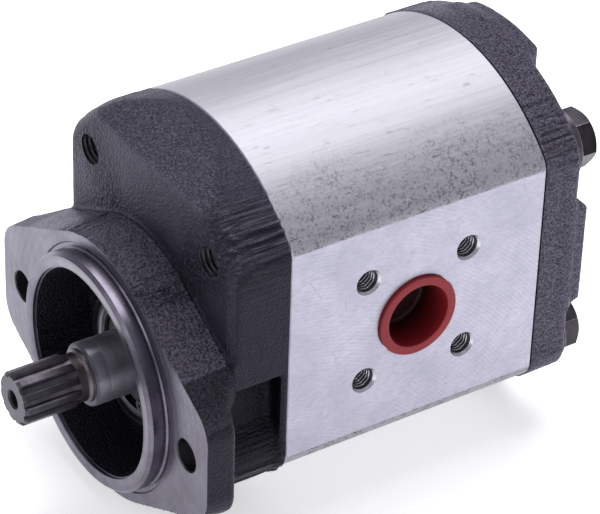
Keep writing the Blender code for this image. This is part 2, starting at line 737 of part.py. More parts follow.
def idler_gear_shaft():
    """Idler gear with its two journals, made about its own axis and placed on the idler's centre."""
    shaft = turned(
        "shaft",
        [
            (IDLER_FRONT_Y, 0.0),
            (IDLER_FRONT_Y, SHAFT_RADIUS - JOURNAL_CHAMFER),
            (IDLER_FRONT_Y + JOURNAL_CHAMFER, SHAFT_RADIUS),
            (JOURNAL_REAR_Y - JOURNAL_CHAMFER, SHAFT_RADIUS),
            (JOURNAL_REAR_Y, SHAFT_RADIUS - JOURNAL_CHAMFER),
            (JOURNAL_REAR_Y, 0.0),
        ],
    )
    half_pitch = 180.0 / GEAR_TEETH
    join(shaft, prism("gear", gear_outline(270.0 + half_pitch), GEAR_FRONT_Y, GEAR_REAR_Y))
    shaft.location = (0.0, 0.0, CENTRE_DISTANCE)
    return finish(shaft, "idler_gear_shaft", "steel")


def bearing_block(name, outer_y, inner_y):
    """Figure-of-eight block with two bush bores; the strip groove is in its outer face, towards the cover."""
    inwards = 1.0 if inner_y > outer_y else -1.0
    low, high = sorted((outer_y, inner_y))
    block = prism(name, figure_eight(BLOCK_RADIUS), low, high)
    for z in (0.0, CENTRE_DISTANCE):
        cut(block, rod("bore", 0.0, z, BLOCK_BORE_RADIUS, low - OVERLAP, high + OVERLAP))
    groove_ends = (outer_y - inwards * OVERLAP, outer_y + inwards * STRIP_GROOVE_DEPTH)
    cut(block, prism("groove", three_outline(STRIP_GROOVE), *sorted(groove_ends)))
    relief_ends = sorted((inner_y - inwards * RELIEF_DEPTH, inner_y + inwards * OVERLAP))
    for side in (1, -1):
        cut(block, rod("relief", side * RELIEF_X, MID_Z, RELIEF_RADIUS, *relief_ends, HOLE_ROUND))
    return finish(block, name, "aluminium")


def bearing_blocks():
    bearing_block("front_bearing_block", BODY_FRONT_Y, GEAR_FRONT_Y - GAP)
    bearing_block("rear_bearing_block", BODY_REAR_Y, GEAR_REAR_Y + GAP)


def bushes():
    """Four plain bushes that share a mesh, pressed in flush with the blocks' gear faces."""
    profile = [
        (0.0, BUSH_OUTER_RADIUS),
        (BUSH_LENGTH, BUSH_OUTER_RADIUS),
        (BUSH_LENGTH, BUSH_INNER_RADIUS),
        (0.0, BUSH_INNER_RADIUS),
    ]
    first = finish(turned("bush", profile, SMALL_ROUND), "front_drive_bush", "bronze")
    front_y = GEAR_FRONT_Y - 2 * GAP - BUSH_LENGTH
    rear_y = GEAR_REAR_Y + 2 * GAP
    first.location = (0.0, front_y, 0.0)
    copy_of(first, "rear_drive_bush").location = (0.0, rear_y, 0.0)
    copy_of(first, "front_idler_bush").location = (0.0, front_y, CENTRE_DISTANCE)
    copy_of(first, "rear_idler_bush").location = (0.0, rear_y, CENTRE_DISTANCE)


def face_strips():
    """Pressure seal and backup strip in each block's groove."""
    for end, outer_y, inwards in (("front", BODY_FRONT_Y, 1.0), ("rear", BODY_REAR_Y, -1.0)):
        y_a = outer_y + inwards * (STRIP_GROOVE_DEPTH - GAP)
        y_b = y_a - inwards * (STRIP_THICKNESS - GAP)
        for radii, name, finish_name in (
            (PRESSURE_STRIP, f"{end}_pressure_seal", "rubber"),
            (BACKUP_STRIP, f"{end}_backup_strip", "backup_plastic"),
        ):
            strip = prism(name, three_outline(radii), *sorted((y_a, y_b)))
            trim_ends(strip)
            finish(strip, name, finish_name)


def trim_ends(strip):
    """Cuts the ends of a strip back from the ends of its groove."""
    reach = math.radians(STRIP_REACH_DEG - STRIP_END_GAP_DEG)
    side = 40.0 * MM
    for centre_z, sign in ((CENTRE_DISTANCE, 1.0), (0.0, -1.0)):
        direction = (math.cos(reach), sign * math.sin(reach))
        across = (-direction[1] * sign, direction[0] * sign)
        corners = [
            (0.0, centre_z),
            (side * direction[0], centre_z + side * direction[1]),
            (side * (direction[0] + across[0]), centre_z + side * (direction[1] + across[1])),
            (side * across[0], centre_z + side * across[1]),
        ]
        cut(strip, prism("trim", corners, 0.0, JOURNAL_REAR_Y + 2 * OVERLAP))


def body_seals():
    """O-ring laid in the groove round both gears, one at each end of the body."""
    section_steps = 6
    for name, y in (
        ("front_body_seal", BODY_FRONT_Y + BODY_SEAL_GROOVE_DEPTH / 2),
        ("rear_body_seal", BODY_REAR_Y - BODY_SEAL_GROOVE_DEPTH / 2),
    ):
        rings = []
        bm = bmesh.new()
        for k in range(section_steps):
            angle = 2 * math.pi * k / section_steps
            loop = stadium(BODY_SEAL_RADIUS + BODY_SEAL_SECTION * math.cos(angle))
            rings.append([bm.verts.new((x, y + BODY_SEAL_SECTION * math.sin(angle), z)) for x, z in loop])
        for k in range(section_steps):
            ring_a, ring_b = rings[k], rings[(k + 1) % section_steps]
            for i in range(len(ring_a)):
                j = (i + 1) % len(ring_a)
                bm.faces.new((ring_a[i], ring_a[j], ring_b[j], ring_b[i]))
        finish(new_object(name, bm), name, "rubber")


def shaft_seal():
    """Rotary lip seal: outer case, web and lip."""
    front, rear = SEAL_FRONT_Y, SEAL_REAR_Y
    case = SEAL_BORE_RADIUS - GAP
    lip = SHAFT_RADIUS + GAP
    wall = 1.8 * MM
    profile = [
        (front, case),
        (rear, case),
        (rear, case - wall),
        (front + wall, case - wall),
        (front + wall, lip + 2 * wall),
        (rear - wall, lip + wall),
        (rear - wall, lip + GAP),
        (front + 2 * wall, lip),
        (front, lip + wall),
    ]
    finish(turned("seal", profile), "shaft_seal", "rubber")


def snap_ring():
    """Internal snap ring, open at the bottom, with an eye at each end."""
    outer = RING_GROOVE_RADIUS - GAP
    inner = RING_GROOVE_RADIUS - RING_WIDTH
    ends = (RING_FRONT_Y, RING_FRONT_Y + RING_THICKNESS)
    loop = arc(0.0, 0.0, outer, RING_OPEN_DEG - 90.0, 270.0 - RING_OPEN_DEG, ROUND)
    loop += arc(0.0, 0.0, inner, 270.0 - RING_OPEN_DEG, RING_OPEN_DEG - 90.0, ROUND)
    ring = prism("ring", loop, *ends)
    for side in (1, -1):
        angle = math.radians(side * RING_EYE_DEG - 90.0)
        x, z = inner * math.cos(angle), inner * math.sin(angle)
        join(ring, rod("eye", x, z, RING_EYE_RADIUS, *ends, HOLE_ROUND))
        front, rear = RING_FRONT_Y - OVERLAP, RING_FRONT_Y + OVERLAP
        cut(ring, rod("eye_hole", x, z, RING_EYE_HOLE_RADIUS, front, rear, 8))
    finish(ring, "snap_ring", "steel")


# ----------------------------------------------------------------------------------------------------
# Fasteners and plugs
# ----------------------------------------------------------------------------------------------------


def tie_bolt_mesh():
    """Hexagon-head bolt along Y, its head's bearing face at y = 0 and its head towards +Y."""
    corner = HEAD_ACROSS_FLATS / math.sqrt(3)
    head = prism("head", circle(0.0, 0.0, corner, 6), 0.0, HEAD_HEIGHT)
    limit = turned(
        "limit",
        [
            (-OVERLAP, 0.0),
            (-OVERLAP, corner + HEAD_CHAMFER),
            (HEAD_HEIGHT - HEAD_CHAMFER, corner + GAP),
            (HEAD_HEIGHT + GAP, HEAD_ACROSS_FLATS / 2 - GAP),
            (HEAD_HEIGHT + GAP, 0.0),
        ],
        24,
    )
    combine(head, [limit], "INTERSECT")
    length = SEAT_Y + WASHER_THICKNESS + 2 * GAP - BOLT_END_Y
    shank = turned(
        "shank",
        [
            (-length, 0.0),
            (-length, BOLT_RADIUS - HEAD_CHAMFER),
            (-length + HEAD_CHAMFER, BOLT_RADIUS),
            (OVERLAP, BOLT_RADIUS),
            (OVERLAP, 0.0),
        ],
        HOLE_ROUND,
    )
    return join(head, shank)


def tie_bolts():
    """Four bolts that share a mesh, each stopped at its own angle, with a washer under each head."""
    washer_profile = [
        (0.0, BOLT_HOLE_RADIUS),
        (0.0, WASHER_RADIUS),
        (WASHER_THICKNESS, WASHER_RADIUS),
        (WASHER_THICKNESS, BOLT_HOLE_RADIUS),
    ]
    bolt = finish(tie_bolt_mesh(), "tie_bolt", "bolt_steel")
    washer = finish(turned("washer", washer_profile, SMALL_ROUND), "washer", "bolt_steel")
    washer_y = SEAT_Y + GAP
    for place, (x, z) in bolt_places().items():
        one = copy_of(bolt, f"{place}_tie_bolt")
        one.location = (x, washer_y + WASHER_THICKNESS + GAP, z)
        one.rotation_euler = (0.0, -math.radians(BOLT_TURNS_DEG[place]), 0.0)
        copy_of(washer, f"{place}_washer").location = (x, washer_y, z)
    bpy.data.objects.remove(bolt)
    bpy.data.objects.remove(washer)


def dowel_pins():
    edge = JOURNAL_CHAMFER
    profile = [
        (0.0, 0.0),
        (0.0, DOWEL_RADIUS - edge),
        (edge, DOWEL_RADIUS),
        (DOWEL_LENGTH - edge, DOWEL_RADIUS),
        (DOWEL_LENGTH, DOWEL_RADIUS - edge),
        (DOWEL_LENGTH, 0.0),
    ]
    pin = finish(turned("dowel", profile, 12), "dowel", "steel")
    for end, joint_y in (("front", FRONT_JOINT_Y + GAP / 2), ("rear", REAR_JOINT_Y - GAP / 2)):
        for side, x in (("right", DOWEL_X), ("left", -DOWEL_X)):
            copy_of(pin, f"{end}_{side}_dowel").location = (x, joint_y - DOWEL_LENGTH / 2, MID_Z)
    bpy.data.objects.remove(pin)


def port_plugs():
    """Cup-shaped transport plugs: the flange sits in the spot face and the cup in the port."""
    seat = -PORT_SPOT_DEPTH + GAP
    edge = GAP
    profile = [
        (-PLUG_DEPTH, 0.0),
        (-PLUG_DEPTH, PLUG_OUTER_RADIUS - PLUG_WALL),
        (-PLUG_DEPTH + PLUG_WALL, PLUG_OUTER_RADIUS),
        (seat, PLUG_OUTER_RADIUS),
        (seat, PLUG_FLANGE_RADIUS),
        (PLUG_PROUD - edge, PLUG_FLANGE_RADIUS),
        (PLUG_PROUD, PLUG_FLANGE_RADIUS - edge),
        (PLUG_PROUD, PLUG_INNER_RADIUS + edge),
        (PLUG_PROUD - edge, PLUG_INNER_RADIUS),
        (-PLUG_DEPTH + PLUG_WALL, PLUG_INNER_RADIUS - 2 * GAP),
        (-PLUG_DEPTH + PLUG_WALL, 0.0),
    ]
    plug = finish(turned("plug", profile), "plug", "red_plastic")
    for name, side in (("right_port_plug", 1), ("left_port_plug", -1)):
        one = copy_of(plug, name)
        swing(one, side)
        one.location = (side * HALF_WIDTH, BODY_MID_Y, MID_Z)
    bpy.data.objects.remove(plug)


def main():
    for obj in list(bpy.data.objects):
        bpy.data.objects.remove(obj)
    front_cover()
    pump_body()
    rear_cover()
    drive_gear_shaft()
    idler_gear_shaft()
    bearing_blocks()
    bushes()
    face_strips()
    body_seals()
    shaft_seal()
    snap_ring()
    tie_bolts()
    dowel_pins()
    port_plugs()


main()
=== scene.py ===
"""Looks for the hydraulic gear pump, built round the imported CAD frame.

+Y runs along the drive shaft into the pump, +Z from the drive gear to the idler gear, and +X out of the
right-hand port. Cast pieces begin as distance fields, are turned into meshes, and are then machined with
Booleans, so that their cast skin stays soft and their machined faces crisp. Turned profiles are lists of
(y, r) points about the piece's own axis along Y.
"""

import math

import bmesh
import bpy
import numpy as np
from mathutils import Matrix, Vector, noise


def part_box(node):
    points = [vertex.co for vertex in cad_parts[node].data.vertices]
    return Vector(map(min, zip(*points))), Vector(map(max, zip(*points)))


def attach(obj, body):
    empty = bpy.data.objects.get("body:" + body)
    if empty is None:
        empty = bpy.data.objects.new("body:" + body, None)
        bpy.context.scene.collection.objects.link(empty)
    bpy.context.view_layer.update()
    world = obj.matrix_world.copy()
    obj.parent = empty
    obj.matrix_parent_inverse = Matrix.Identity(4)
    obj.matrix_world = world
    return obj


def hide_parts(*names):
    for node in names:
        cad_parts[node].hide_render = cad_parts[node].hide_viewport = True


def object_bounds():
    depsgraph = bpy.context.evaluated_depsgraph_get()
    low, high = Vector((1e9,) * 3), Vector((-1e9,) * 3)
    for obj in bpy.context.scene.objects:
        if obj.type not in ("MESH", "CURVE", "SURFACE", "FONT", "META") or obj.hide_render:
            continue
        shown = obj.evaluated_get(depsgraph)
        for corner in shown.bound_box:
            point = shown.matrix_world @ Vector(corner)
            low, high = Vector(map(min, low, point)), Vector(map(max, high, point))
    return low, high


MM = 0.001
GAP = 0.3 * MM  # between pieces that touch
SPARE = 2.0 * MM  # by which cutting tools and raw castings overshoot

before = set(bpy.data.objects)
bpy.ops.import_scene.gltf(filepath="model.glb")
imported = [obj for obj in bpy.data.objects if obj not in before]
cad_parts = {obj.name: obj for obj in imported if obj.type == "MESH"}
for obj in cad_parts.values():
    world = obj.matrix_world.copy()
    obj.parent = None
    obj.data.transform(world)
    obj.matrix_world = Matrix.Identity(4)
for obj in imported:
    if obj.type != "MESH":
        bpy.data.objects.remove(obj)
CAD_LOW, CAD_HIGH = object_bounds()

# ---- Places, read from the frame

BODY_LOW, BODY_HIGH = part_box("pump_body")
COVER_LOW, COVER_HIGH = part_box("front_cover")
REAR_LOW, REAR_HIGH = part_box("rear_cover")
SHAFT_LOW, SHAFT_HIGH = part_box("drive_gear_shaft")
IDLER_LOW, IDLER_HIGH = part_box("idler_gear_shaft")
SEAL_LOW, SEAL_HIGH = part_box("shaft_seal")
RING_LOW, RING_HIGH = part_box("snap_ring")
FRONT_BLOCK_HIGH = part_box("front_bearing_block")[1]
REAR_BLOCK_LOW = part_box("rear_bearing_block")[0]
PLUG_LOW, PLUG_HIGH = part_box("right_port_plug")

HALF_WIDTH = BODY_HIGH.x
MID_Z = (BODY_LOW.z + BODY_HIGH.z) / 2
CENTRE_DISTANCE = 2 * MID_Z
PORT_Y = (PLUG_LOW.y + PLUG_HIGH.y) / 2
FRONT_JOINT_Y = COVER_HIGH.y
REAR_JOINT_Y = REAR_LOW.y
PILOT_FRONT_Y = COVER_LOW.y
EAR_HALF_SPAN = COVER_HIGH.x

# Outline shared by body and covers
DOME_RADIUS = 68.0 * MM
DOME_OFFSET = DOME_RADIUS - (BODY_HIGH.z - MID_Z)
SHOULDER_RADIUS = 9.0 * MM
MILLED_OFF = 0.3 * MM
REAR_PROUD = REAR_HIGH.x - HALF_WIDTH

# Front cover
FLANGE_RADIUS = 46.7 * MM
FLANGE_DRAFT = 0.09
EAR_CORNER_RADIUS = 12.0 * MM
EAR_SLOPE = math.radians(62.0)
EAR_BACK_Y = 10.4 * MM
BLOCK_FRONT_Y = 17.3 * MM
BLOCK_BOTTOM_Z = 15.5 * MM
PLATE_FRONT_Y = 36.6 * MM
NECK_RADIUS = 44.0 * MM
SLOPE_LOW = (17.3 * MM, 74.0 * MM)
SLOPE_HIGH = (34.5 * MM, 86.0 * MM)
SLOPE_EDGE = 1.3 * MM
BLOCK_CORNER = 62.0 * MM
PILOT_RADIUS = 41.275 * MM
HOLLOW_RADIUS = 35.6 * MM
HOLLOW_FLOOR_Y = 18.0 * MM
HOLLOW_DRAFT = 0.05
HOLLOW_DRAFT_GAP = 0.8 * MM
MOUTH_RADIUS = 36.4 * MM
SEAL_BOSS_RADIUS = 23.4 * MM
SEAL_BOSS_FRONT_Y = 9.7 * MM
SEAL_BORE_RADIUS = 18.8 * MM
RING_GROOVE_RADIUS = 20.6 * MM
SHAFT_BORE_RADIUS = 12.0 * MM
FLANGE_HOLE_X = 53.2 * MM
FLANGE_HOLE_RADIUS = 5.6 * MM

# Tie bolts
BOLT_X = 37.2 * MM
BOLT_RADIUS = 6.0 * MM
BOLT_HOLE_RADIUS = 6.4 * MM
BOLT_PITCH = 1.75 * MM
BOLT_BOSS_RADIUS = 12.9 * MM
BOLT_TURNS_DEG = {"upper_right": -2.5, "lower_right": -27.7, "upper_left": 14.0, "lower_left": 41.0}
HEAD_ACROSS_FLATS = 18.0 * MM
SEAT_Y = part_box("upper_right_washer")[0].y

# Rear cover's raised cross
CROSS_HALF_WIDTH = 17.5 * MM
CROSS_HALF_HEIGHT = 18.5 * MM
CROSS_DRAFT = 0.32

# Ports
PORT_RADIUS = 13.3 * MM
PORT_SPOT_RADIUS = 15.1 * MM
PORT_SPOT_DEPTH = 0.8 * MM
PORT_INNER_X = 8.0 * MM
PORT_SCREW_HALF = 38.89 / 2 * MM
PORT_SCREW_RADIUS = 4.0 * MM
PORT_SCREW_PITCH = 1.25 * MM
PORT_SCREW_DEPTH = 15.0 * MM

# Shaft and gears
SHAFT_RADIUS = 10.9 * MM
COLLAR_Y = -7.5 * MM
NECK_SHAFT_RADIUS = 8.3 * MM
SPLINE_END_Y = -12.2 * MM
SPLINE_TEETH = 11
SPLINE_TIP_RADIUS = 9.3 * MM
SPLINE_ROOT_RADIUS = 7.75 * MM
SPLINE_PITCH_RADIUS = 8.73 * MM
GEAR_TEETH = 12
PITCH_RADIUS = CENTRE_DISTANCE / 2
GEAR_MODULE = CENTRE_DISTANCE / GEAR_TEETH
GEAR_FRONT_Y = FRONT_BLOCK_HIGH.y + GAP
GEAR_REAR_Y = REAR_BLOCK_LOW.y - GAP
CHAMBER_RADIUS = 25.15 * MM

# Cast skin
SKIN_LUMPS = 0.10 * MM
RIPPLE = 0.8 * MM
RIPPLE_PLACE_DEG, RIPPLE_SPREAD_DEG = 50.0, 13.0
LINES_PLACE_DEG, LINES_SPREAD_DEG = 48.0, 12.0
STRONG_GRAIN = 1.6

# Mesh fineness
CAST_CELL = 0.75 * MM
ROUND = 96
SMALL_ROUND = 48

# ---- Shader nodes


class Nodes:
    """Builds one material's node tree: each method adds a node and gives back its output."""

    def __init__(self, name):
        self.material = bpy.data.materials.new(name)
        self.material.use_nodes = True
        self.tree = self.material.node_tree
        self.shader = self.tree.nodes["Principled BSDF"]
        self.place = self.add("ShaderNodeTexCoord").outputs["Object"]

    def put(self, socket, value):
        """Links a socket to an output, or gives it a constant; a colour may leave out its alpha."""
        if isinstance(value, bpy.types.NodeSocket):
            self.tree.links.new(value, socket)
        elif socket.type == "RGBA" and len(value) == 3:
            socket.default_value = (*value, 1.0)
        else:
            socket.default_value = value

    def add(self, kind, settings=None, inputs=None):
        node = self.tree.nodes.new(kind)
        for key, value in (settings or {}).items():
            setattr(node, key, value)
        for key, value in (inputs or {}).items():
            self.put(node.inputs[key], value)
        return node

    def stretched(self, scale, turn=(0.0, 0.0, 0.0), shift=(0.0, 0.0, 0.0)):
        inputs = {"Vector": self.place, "Scale": scale, "Rotation": turn, "Location": shift}
        return self.add("ShaderNodeMapping", inputs=inputs).outputs["Vector"]

    def noise(self, scale, detail=3.0, roughness=0.55, distortion=0.0, vector=None):
        inputs = {"Vector": vector or self.place, "Scale": scale, "Detail": detail}
        inputs.update({"Roughness": roughness, "Distortion": distortion})
        return self.add("ShaderNodeTexNoise", inputs=inputs).outputs["Fac"]

    def cells(self, scale, vector=None, feature="F1"):
        inputs = {"Vector": vector or self.place, "Scale": scale}
        return self.add("ShaderNodeTexVoronoi", {"feature": feature}, inputs).outputs["Distance"]

    def cracks(self, scale, vector, width, patches, low, high):
        """Thin lines between cells, shown only in patches."""
        lines = self.ramp(self.cells(scale, vector, "DISTANCE_TO_EDGE"), 0.0, width, 1.0, 0.0)
        return self.times(lines, self.ramp(self.noise(patches, 2.0), low, high))

    def rings(self, scale, distortion=0.0, vector=None, direction="Y"):
        settings = {"wave_type": "RINGS", "rings_direction": direction}
        inputs = {"Vector": vector or self.place, "Scale": scale, "Distortion": distortion}
        inputs.update({"Detail": 2.0, "Detail Scale": 2.0})
        return self.add("ShaderNodeTexWave", settings, inputs).outputs["Fac"]

    def ramp(self, value, low, high, from_value=0.0, to_value=1.0):
        """Maps a value from low..high to from_value..to_value, clamped."""
        inputs = {"Value": value, "From Min": low, "From Max": high, "To Min": from_value, "To Max": to_value}
        return self.add("ShaderNodeMapRange", inputs=inputs).outputs["Result"]

    def maths(self, operation, a, b):
        return self.add("ShaderNodeMath", {"operation": operation}, {0: a, 1: b}).outputs["Value"]

    def times(self, a, b):
        return self.maths("MULTIPLY", a, b)

    def plus(self, a, b):
        return self.maths("ADD", a, b)

    def mix(self, factor, a, b):
        return self.add("ShaderNodeMix", {"data_type": "RGBA"}, {0: factor, 6: a, 7: b}).outputs[2]

    def tint(self, colour, mask, share, other):
        """Goes that share of the way to the other colour where the mask is full."""
        return self.mix(self.times(mask, share), colour, other)

    def attribute(self, name):
        return self.add("ShaderNodeAttribute", {"attribute_name": name}).outputs["Fac"]

    def edge_wear(self):
        """Full on convex edges, from the mesh's own pointiness."""
        return self.ramp(self.add("ShaderNodeNewGeometry").outputs["Pointiness"], 0.51, 0.58)

    def bump(self, height, distance, strength=1.0, under=None):
        inputs = {"Height": height, "Distance": distance, "Strength": strength}
        if under is not None:
            inputs["Normal"] = under
        return self.add("ShaderNodeBump", inputs=inputs).outputs["Normal"]

    def finish(self, colour, roughness, metallic, normal, **constants):
        values = {"Base Color": colour, "Roughness": roughness, "Metallic": metallic, "Normal": normal}
        values.update({key.replace("_", " "): value for key, value in constants.items()})
        for key, value in values.items():
            self.put(self.shader.inputs[key], value)
        return self.material


# ---- Materials


def cast_iron(name):
    """Dark sand-cast iron: granular where the grain attribute is high, mould lines, painted highlights and
    painted shade.
    """
    n = Nodes(name)
    grain = n.attribute("grain")
    dark = n.attribute("dark")
    fine = n.noise(1500.0, 3.0, 0.6)
    coarse = n.noise(1250.0, 3.0, 0.6)
    pits = n.ramp(n.cells(1100.0), 0.0, 0.6)
    cloud = n.noise(55.0, 4.0, 0.6)
    line = n.noise(850.0, 3.0, 0.6, vector=n.stretched((1.0, 0.05, 1.0)))
    height = n.plus(n.times(coarse, 0.9), n.times(pits, 0.35))
    height = n.times(height, n.ramp(grain, 0.0, 1.0, 0.20, 1.0))
    lines = n.times(n.attribute("lines"), 1.8)
    height = n.plus(height, n.times(line, lines))
    skin = n.bump(height, 2.1 * MM, 1.0, n.bump(fine, 0.10 * MM, 0.8))
    colour = n.mix(n.ramp(cloud, 0.3, 0.7), (0.0120, 0.0108, 0.0178), (0.0235, 0.0212, 0.0325))
    colour = n.tint(colour, grain, 0.5, (0.115, 0.104, 0.140))
    # Painted highlight: light specks on the granule tops stand in for their glints.
    painted_glint = n.times(n.ramp(coarse, 0.48, 0.66), n.ramp(grain, 0.0, 1.4, 0.06, 1.0))
    colour = n.mix(painted_glint, colour, (0.190, 0.175, 0.235))
    # Painted shade: the granules' low points darkened.
    painted_pit_shade = n.times(n.ramp(coarse, 0.47, 0.38), n.ramp(grain, 0.2, 1.0, 0.0, 0.7))
    colour = n.mix(painted_pit_shade, colour, (0.009, 0.008, 0.012))
    # Painted shade in the mould lines' grooves, and below it a painted highlight on their ridges.
    groove = n.times(n.ramp(line, 0.52, 0.36), n.attribute("lines"))
    colour = n.tint(colour, groove, 0.9, (0.005, 0.004, 0.007))
    painted_ridge_highlight = n.times(n.ramp(line, 0.55, 0.66), n.attribute("lines"))
    colour = n.tint(colour, painted_ridge_highlight, 0.6, (0.12, 0.11, 0.145))
    colour = n.tint(colour, n.edge_wear(), 0.6, (0.21, 0.195, 0.25))
    # Painted shade: near-black wherever the dark attribute is high, in the hollow, the recess and on the
    # flanks.
    colour = n.tint(colour, dark, 0.97, (0.0022, 0.0020, 0.0028))
    roughness = n.ramp(cloud, 0.3, 0.7, 0.32, 0.42)
    sheen = {"Specular_IOR_Level": 0.3, "Specular_Tint": (0.78, 0.74, 1.0)}
    return n.finish(colour, roughness, 0.3, skin, **sheen)


def machined_iron(name):
    """Turned iron face: fine rings round the shaft's axis, with a few darker stains."""
    n = Nodes(name)
    rings = n.rings(420.0, 0.6)
    wide = n.rings(90.0, 2.0)
    stain = n.noise(90.0, 5.0, 0.65)
    speck = n.ramp(n.noise(700.0, 3.0, 0.6), 0.64, 0.72)
    colour = n.mix(n.ramp(stain, 0.35, 0.7), (0.12, 0.110, 0.143), (0.19, 0.177, 0.226))
    colour = n.mix(n.ramp(rings, 0.75, 1.0, 0.0, 0.14), colour, (0.36, 0.34, 0.42))
    colour = n.tint(colour, speck, 0.5, (0.12, 0.11, 0.13))
    roughness = n.ramp(wide, 0.0, 1.0, 0.25, 0.33)
    normal = n.bump(rings, 0.012 * MM, 0.6, n.bump(stain, 0.05 * MM, 0.4))
    return n.finish(colour, roughness, 0.92, normal)


def bored_iron(name):
    """Dull dark iron inside drilled holes and bores."""
    n = Nodes(name)
    stain = n.noise(300.0, 4.0)
    colour = n.mix(stain, (0.020, 0.018, 0.022), (0.085, 0.077, 0.092))
    normal = n.bump(n.noise(900.0), 0.05 * MM, 0.5)
    return n.finish(colour, n.ramp(stain, 0.3, 0.7, 0.3, 0.5), 0.8, normal)


def extruded_aluminium(name):
    """Drawn aluminium skin: streaks along Y, dark specks and dashes that gather towards the shoulders, and
    painted shade that deepens there too.
    """
    n = Nodes(name)
    wear_and_shade = n.attribute("wear_and_shade")
    along = n.stretched((1.0, 0.022, 1.0))
    streak = n.noise(950.0, 4.0, 0.7, vector=along)
    band = n.noise(120.0, 3.0, 0.6, vector=along)
    patch = n.noise(42.0, 4.0, 0.6)
    speck = n.noise(1000.0, 5.0, 0.75)
    dash = n.noise(650.0, 3.0, 0.6, vector=n.stretched((1.0, 0.22, 1.0)))
    spread = n.plus(wear_and_shade, n.times(n.maths("SUBTRACT", patch, 0.5), 1.2))
    gather = n.ramp(spread, 0.15, 1.1, 0.04, 1.0)
    gather = n.times(gather, n.ramp(n.noise(330.0, 3.0, 0.6), 0.40, 0.60, 0.2, 1.0))
    dark = n.times(n.ramp(speck, 0.46, 0.58), gather)
    dashes = n.times(n.ramp(dash, 0.62, 0.72), n.ramp(spread, -0.2, 1.0, 0.15, 1.0))
    dark = n.maths("MAXIMUM", dark, dashes)
    shadow = n.ramp(spread, 0.6, 1.2)
    scratch = n.cracks(210.0, n.stretched((1.0, 0.10, 1.0), (0.3, 0.1, 0.5)), 0.02, 70.0, 0.52, 0.68)
    colour = n.mix(n.ramp(streak, 0.3, 0.7), (0.34, 0.332, 0.37), (0.47, 0.46, 0.505))
    colour = n.mix(n.ramp(band, 0.35, 0.7, 0.0, 0.4), colour, (0.33, 0.325, 0.365))
    # Painted shade: the skin greys towards the shoulders.
    colour = n.tint(colour, shadow, 0.40, (0.30, 0.29, 0.335))
    colour = n.tint(colour, dark, 0.85, (0.075, 0.07, 0.085))
    colour = n.tint(colour, scratch, 0.35, (0.16, 0.155, 0.18))
    roughness = n.plus(n.ramp(streak, 0.3, 0.7, 0.42, 0.52), n.times(dark, 0.2))
    normal = n.bump(streak, 0.030 * MM, 0.7, n.bump(n.maths("SUBTRACT", 1.0, dark), 0.05 * MM, 0.6))
    return n.finish(colour, roughness, 0.45, normal)


def milled_aluminium(name):
    """Milled flat: fine cutter arcs, faint scratches and a few dark nicks."""
    n = Nodes(name)
    centre = n.stretched((1.0, 1.0, 1.0), shift=(0.0, -0.030, 0.075))
    arcs = n.rings(230.0, 0.2, centre, "X")
    fibre = n.noise(1000.0, 4.0, 0.7, vector=n.stretched((1.0, 0.4, 1.0), (0.25, 0.0, 0.0)))
    cloud = n.noise(60.0, 4.0, 0.6)
    nick = n.ramp(n.noise(420.0, 5.0, 0.75, 1.2), 0.66, 0.73)
    nick = n.times(nick, n.ramp(cloud, 0.35, 0.55))
    scratch = n.cracks(95.0, n.stretched((1.0, 0.5, 1.0), (0.5, 0.2, 0.3)), 0.012, 60.0, 0.50, 0.62)
    swirl = n.times(n.ramp(arcs, 0.6, 1.0), n.ramp(n.noise(45.0, 3.0), 0.42, 0.62))
    colour = n.mix(n.ramp(cloud, 0.35, 0.7), (0.42, 0.409, 0.50), (0.52, 0.508, 0.602))
    colour = n.mix(n.ramp(fibre, 0.4, 0.75, 0.0, 0.5), colour, (0.31, 0.30, 0.375))
    colour = n.tint(colour, swirl, 0.16, (0.74, 0.73, 0.82))
    colour = n.tint(colour, nick, 0.6, (0.13, 0.125, 0.16))
    colour = n.tint(colour, scratch, 0.4, (0.18, 0.175, 0.22))
    roughness = n.ramp(fibre, 0.3, 0.7, 0.36, 0.46)
    normal = n.bump(swirl, 0.008 * MM, 0.5, n.bump(fibre, 0.02 * MM, 0.4))
    return n.finish(colour, roughness, 0.65, normal)


def mottled(name, texture, dark, light, gloss, metallic, relief, strength=0.5):
    """A plain surface: one noise gives its colour, roughness and relief."""
    n = Nodes(name)
    mottle = n.noise(*texture)
    roughness = n.ramp(mottle, 0.3, 0.7, *gloss)
    return n.finish(n.mix(mottle, dark, light), roughness, metallic, n.bump(mottle, relief, strength))


def turned_steel(name, dark, light, gloss=0.22, grind=1800.0, metallic=0.95, spread=0.0):
    """Ground or turned steel: fine rings, which may spread the shine along Y, and faint stains."""
    n = Nodes(name)
    lines = n.noise(grind, 2.0, 0.5, vector=n.stretched((0.02, 1.0, 0.02)))
    stain = n.noise(140.0, 5.0, 0.65)
    colour = n.mix(n.ramp(stain, 0.3, 0.7), dark, light)
    roughness = n.ramp(lines, 0.3, 0.7, gloss, gloss + 0.14)
    normal = n.bump(lines, 0.004 * MM, 0.5, n.bump(stain, 0.03 * MM, 0.3))
    if spread:
        tangent = n.add("ShaderNodeTangent", {"direction_type": "RADIAL", "axis": "Y"}).outputs["Tangent"]
        n.put(n.shader.inputs["Tangent"], tangent)
    return n.finish(colour, roughness, metallic, normal, Anisotropic=spread, Anisotropic_Rotation=0.25)


def forged_steel(name, dark, light):
    """Bolt steel, slightly mottled."""
    n = Nodes(name)
    mottle = n.noise(240.0, 5.0, 0.6)
    fine = n.noise(1400.0, 3.0)
    colour = n.mix(n.ramp(mottle, 0.3, 0.7), dark, light)
    normal = n.bump(fine, 0.04 * MM, 0.6, n.bump(mottle, 0.08 * MM, 0.5))
    return n.finish(colour, n.ramp(mottle, 0.3, 0.7, 0.28, 0.42), 0.6, normal)


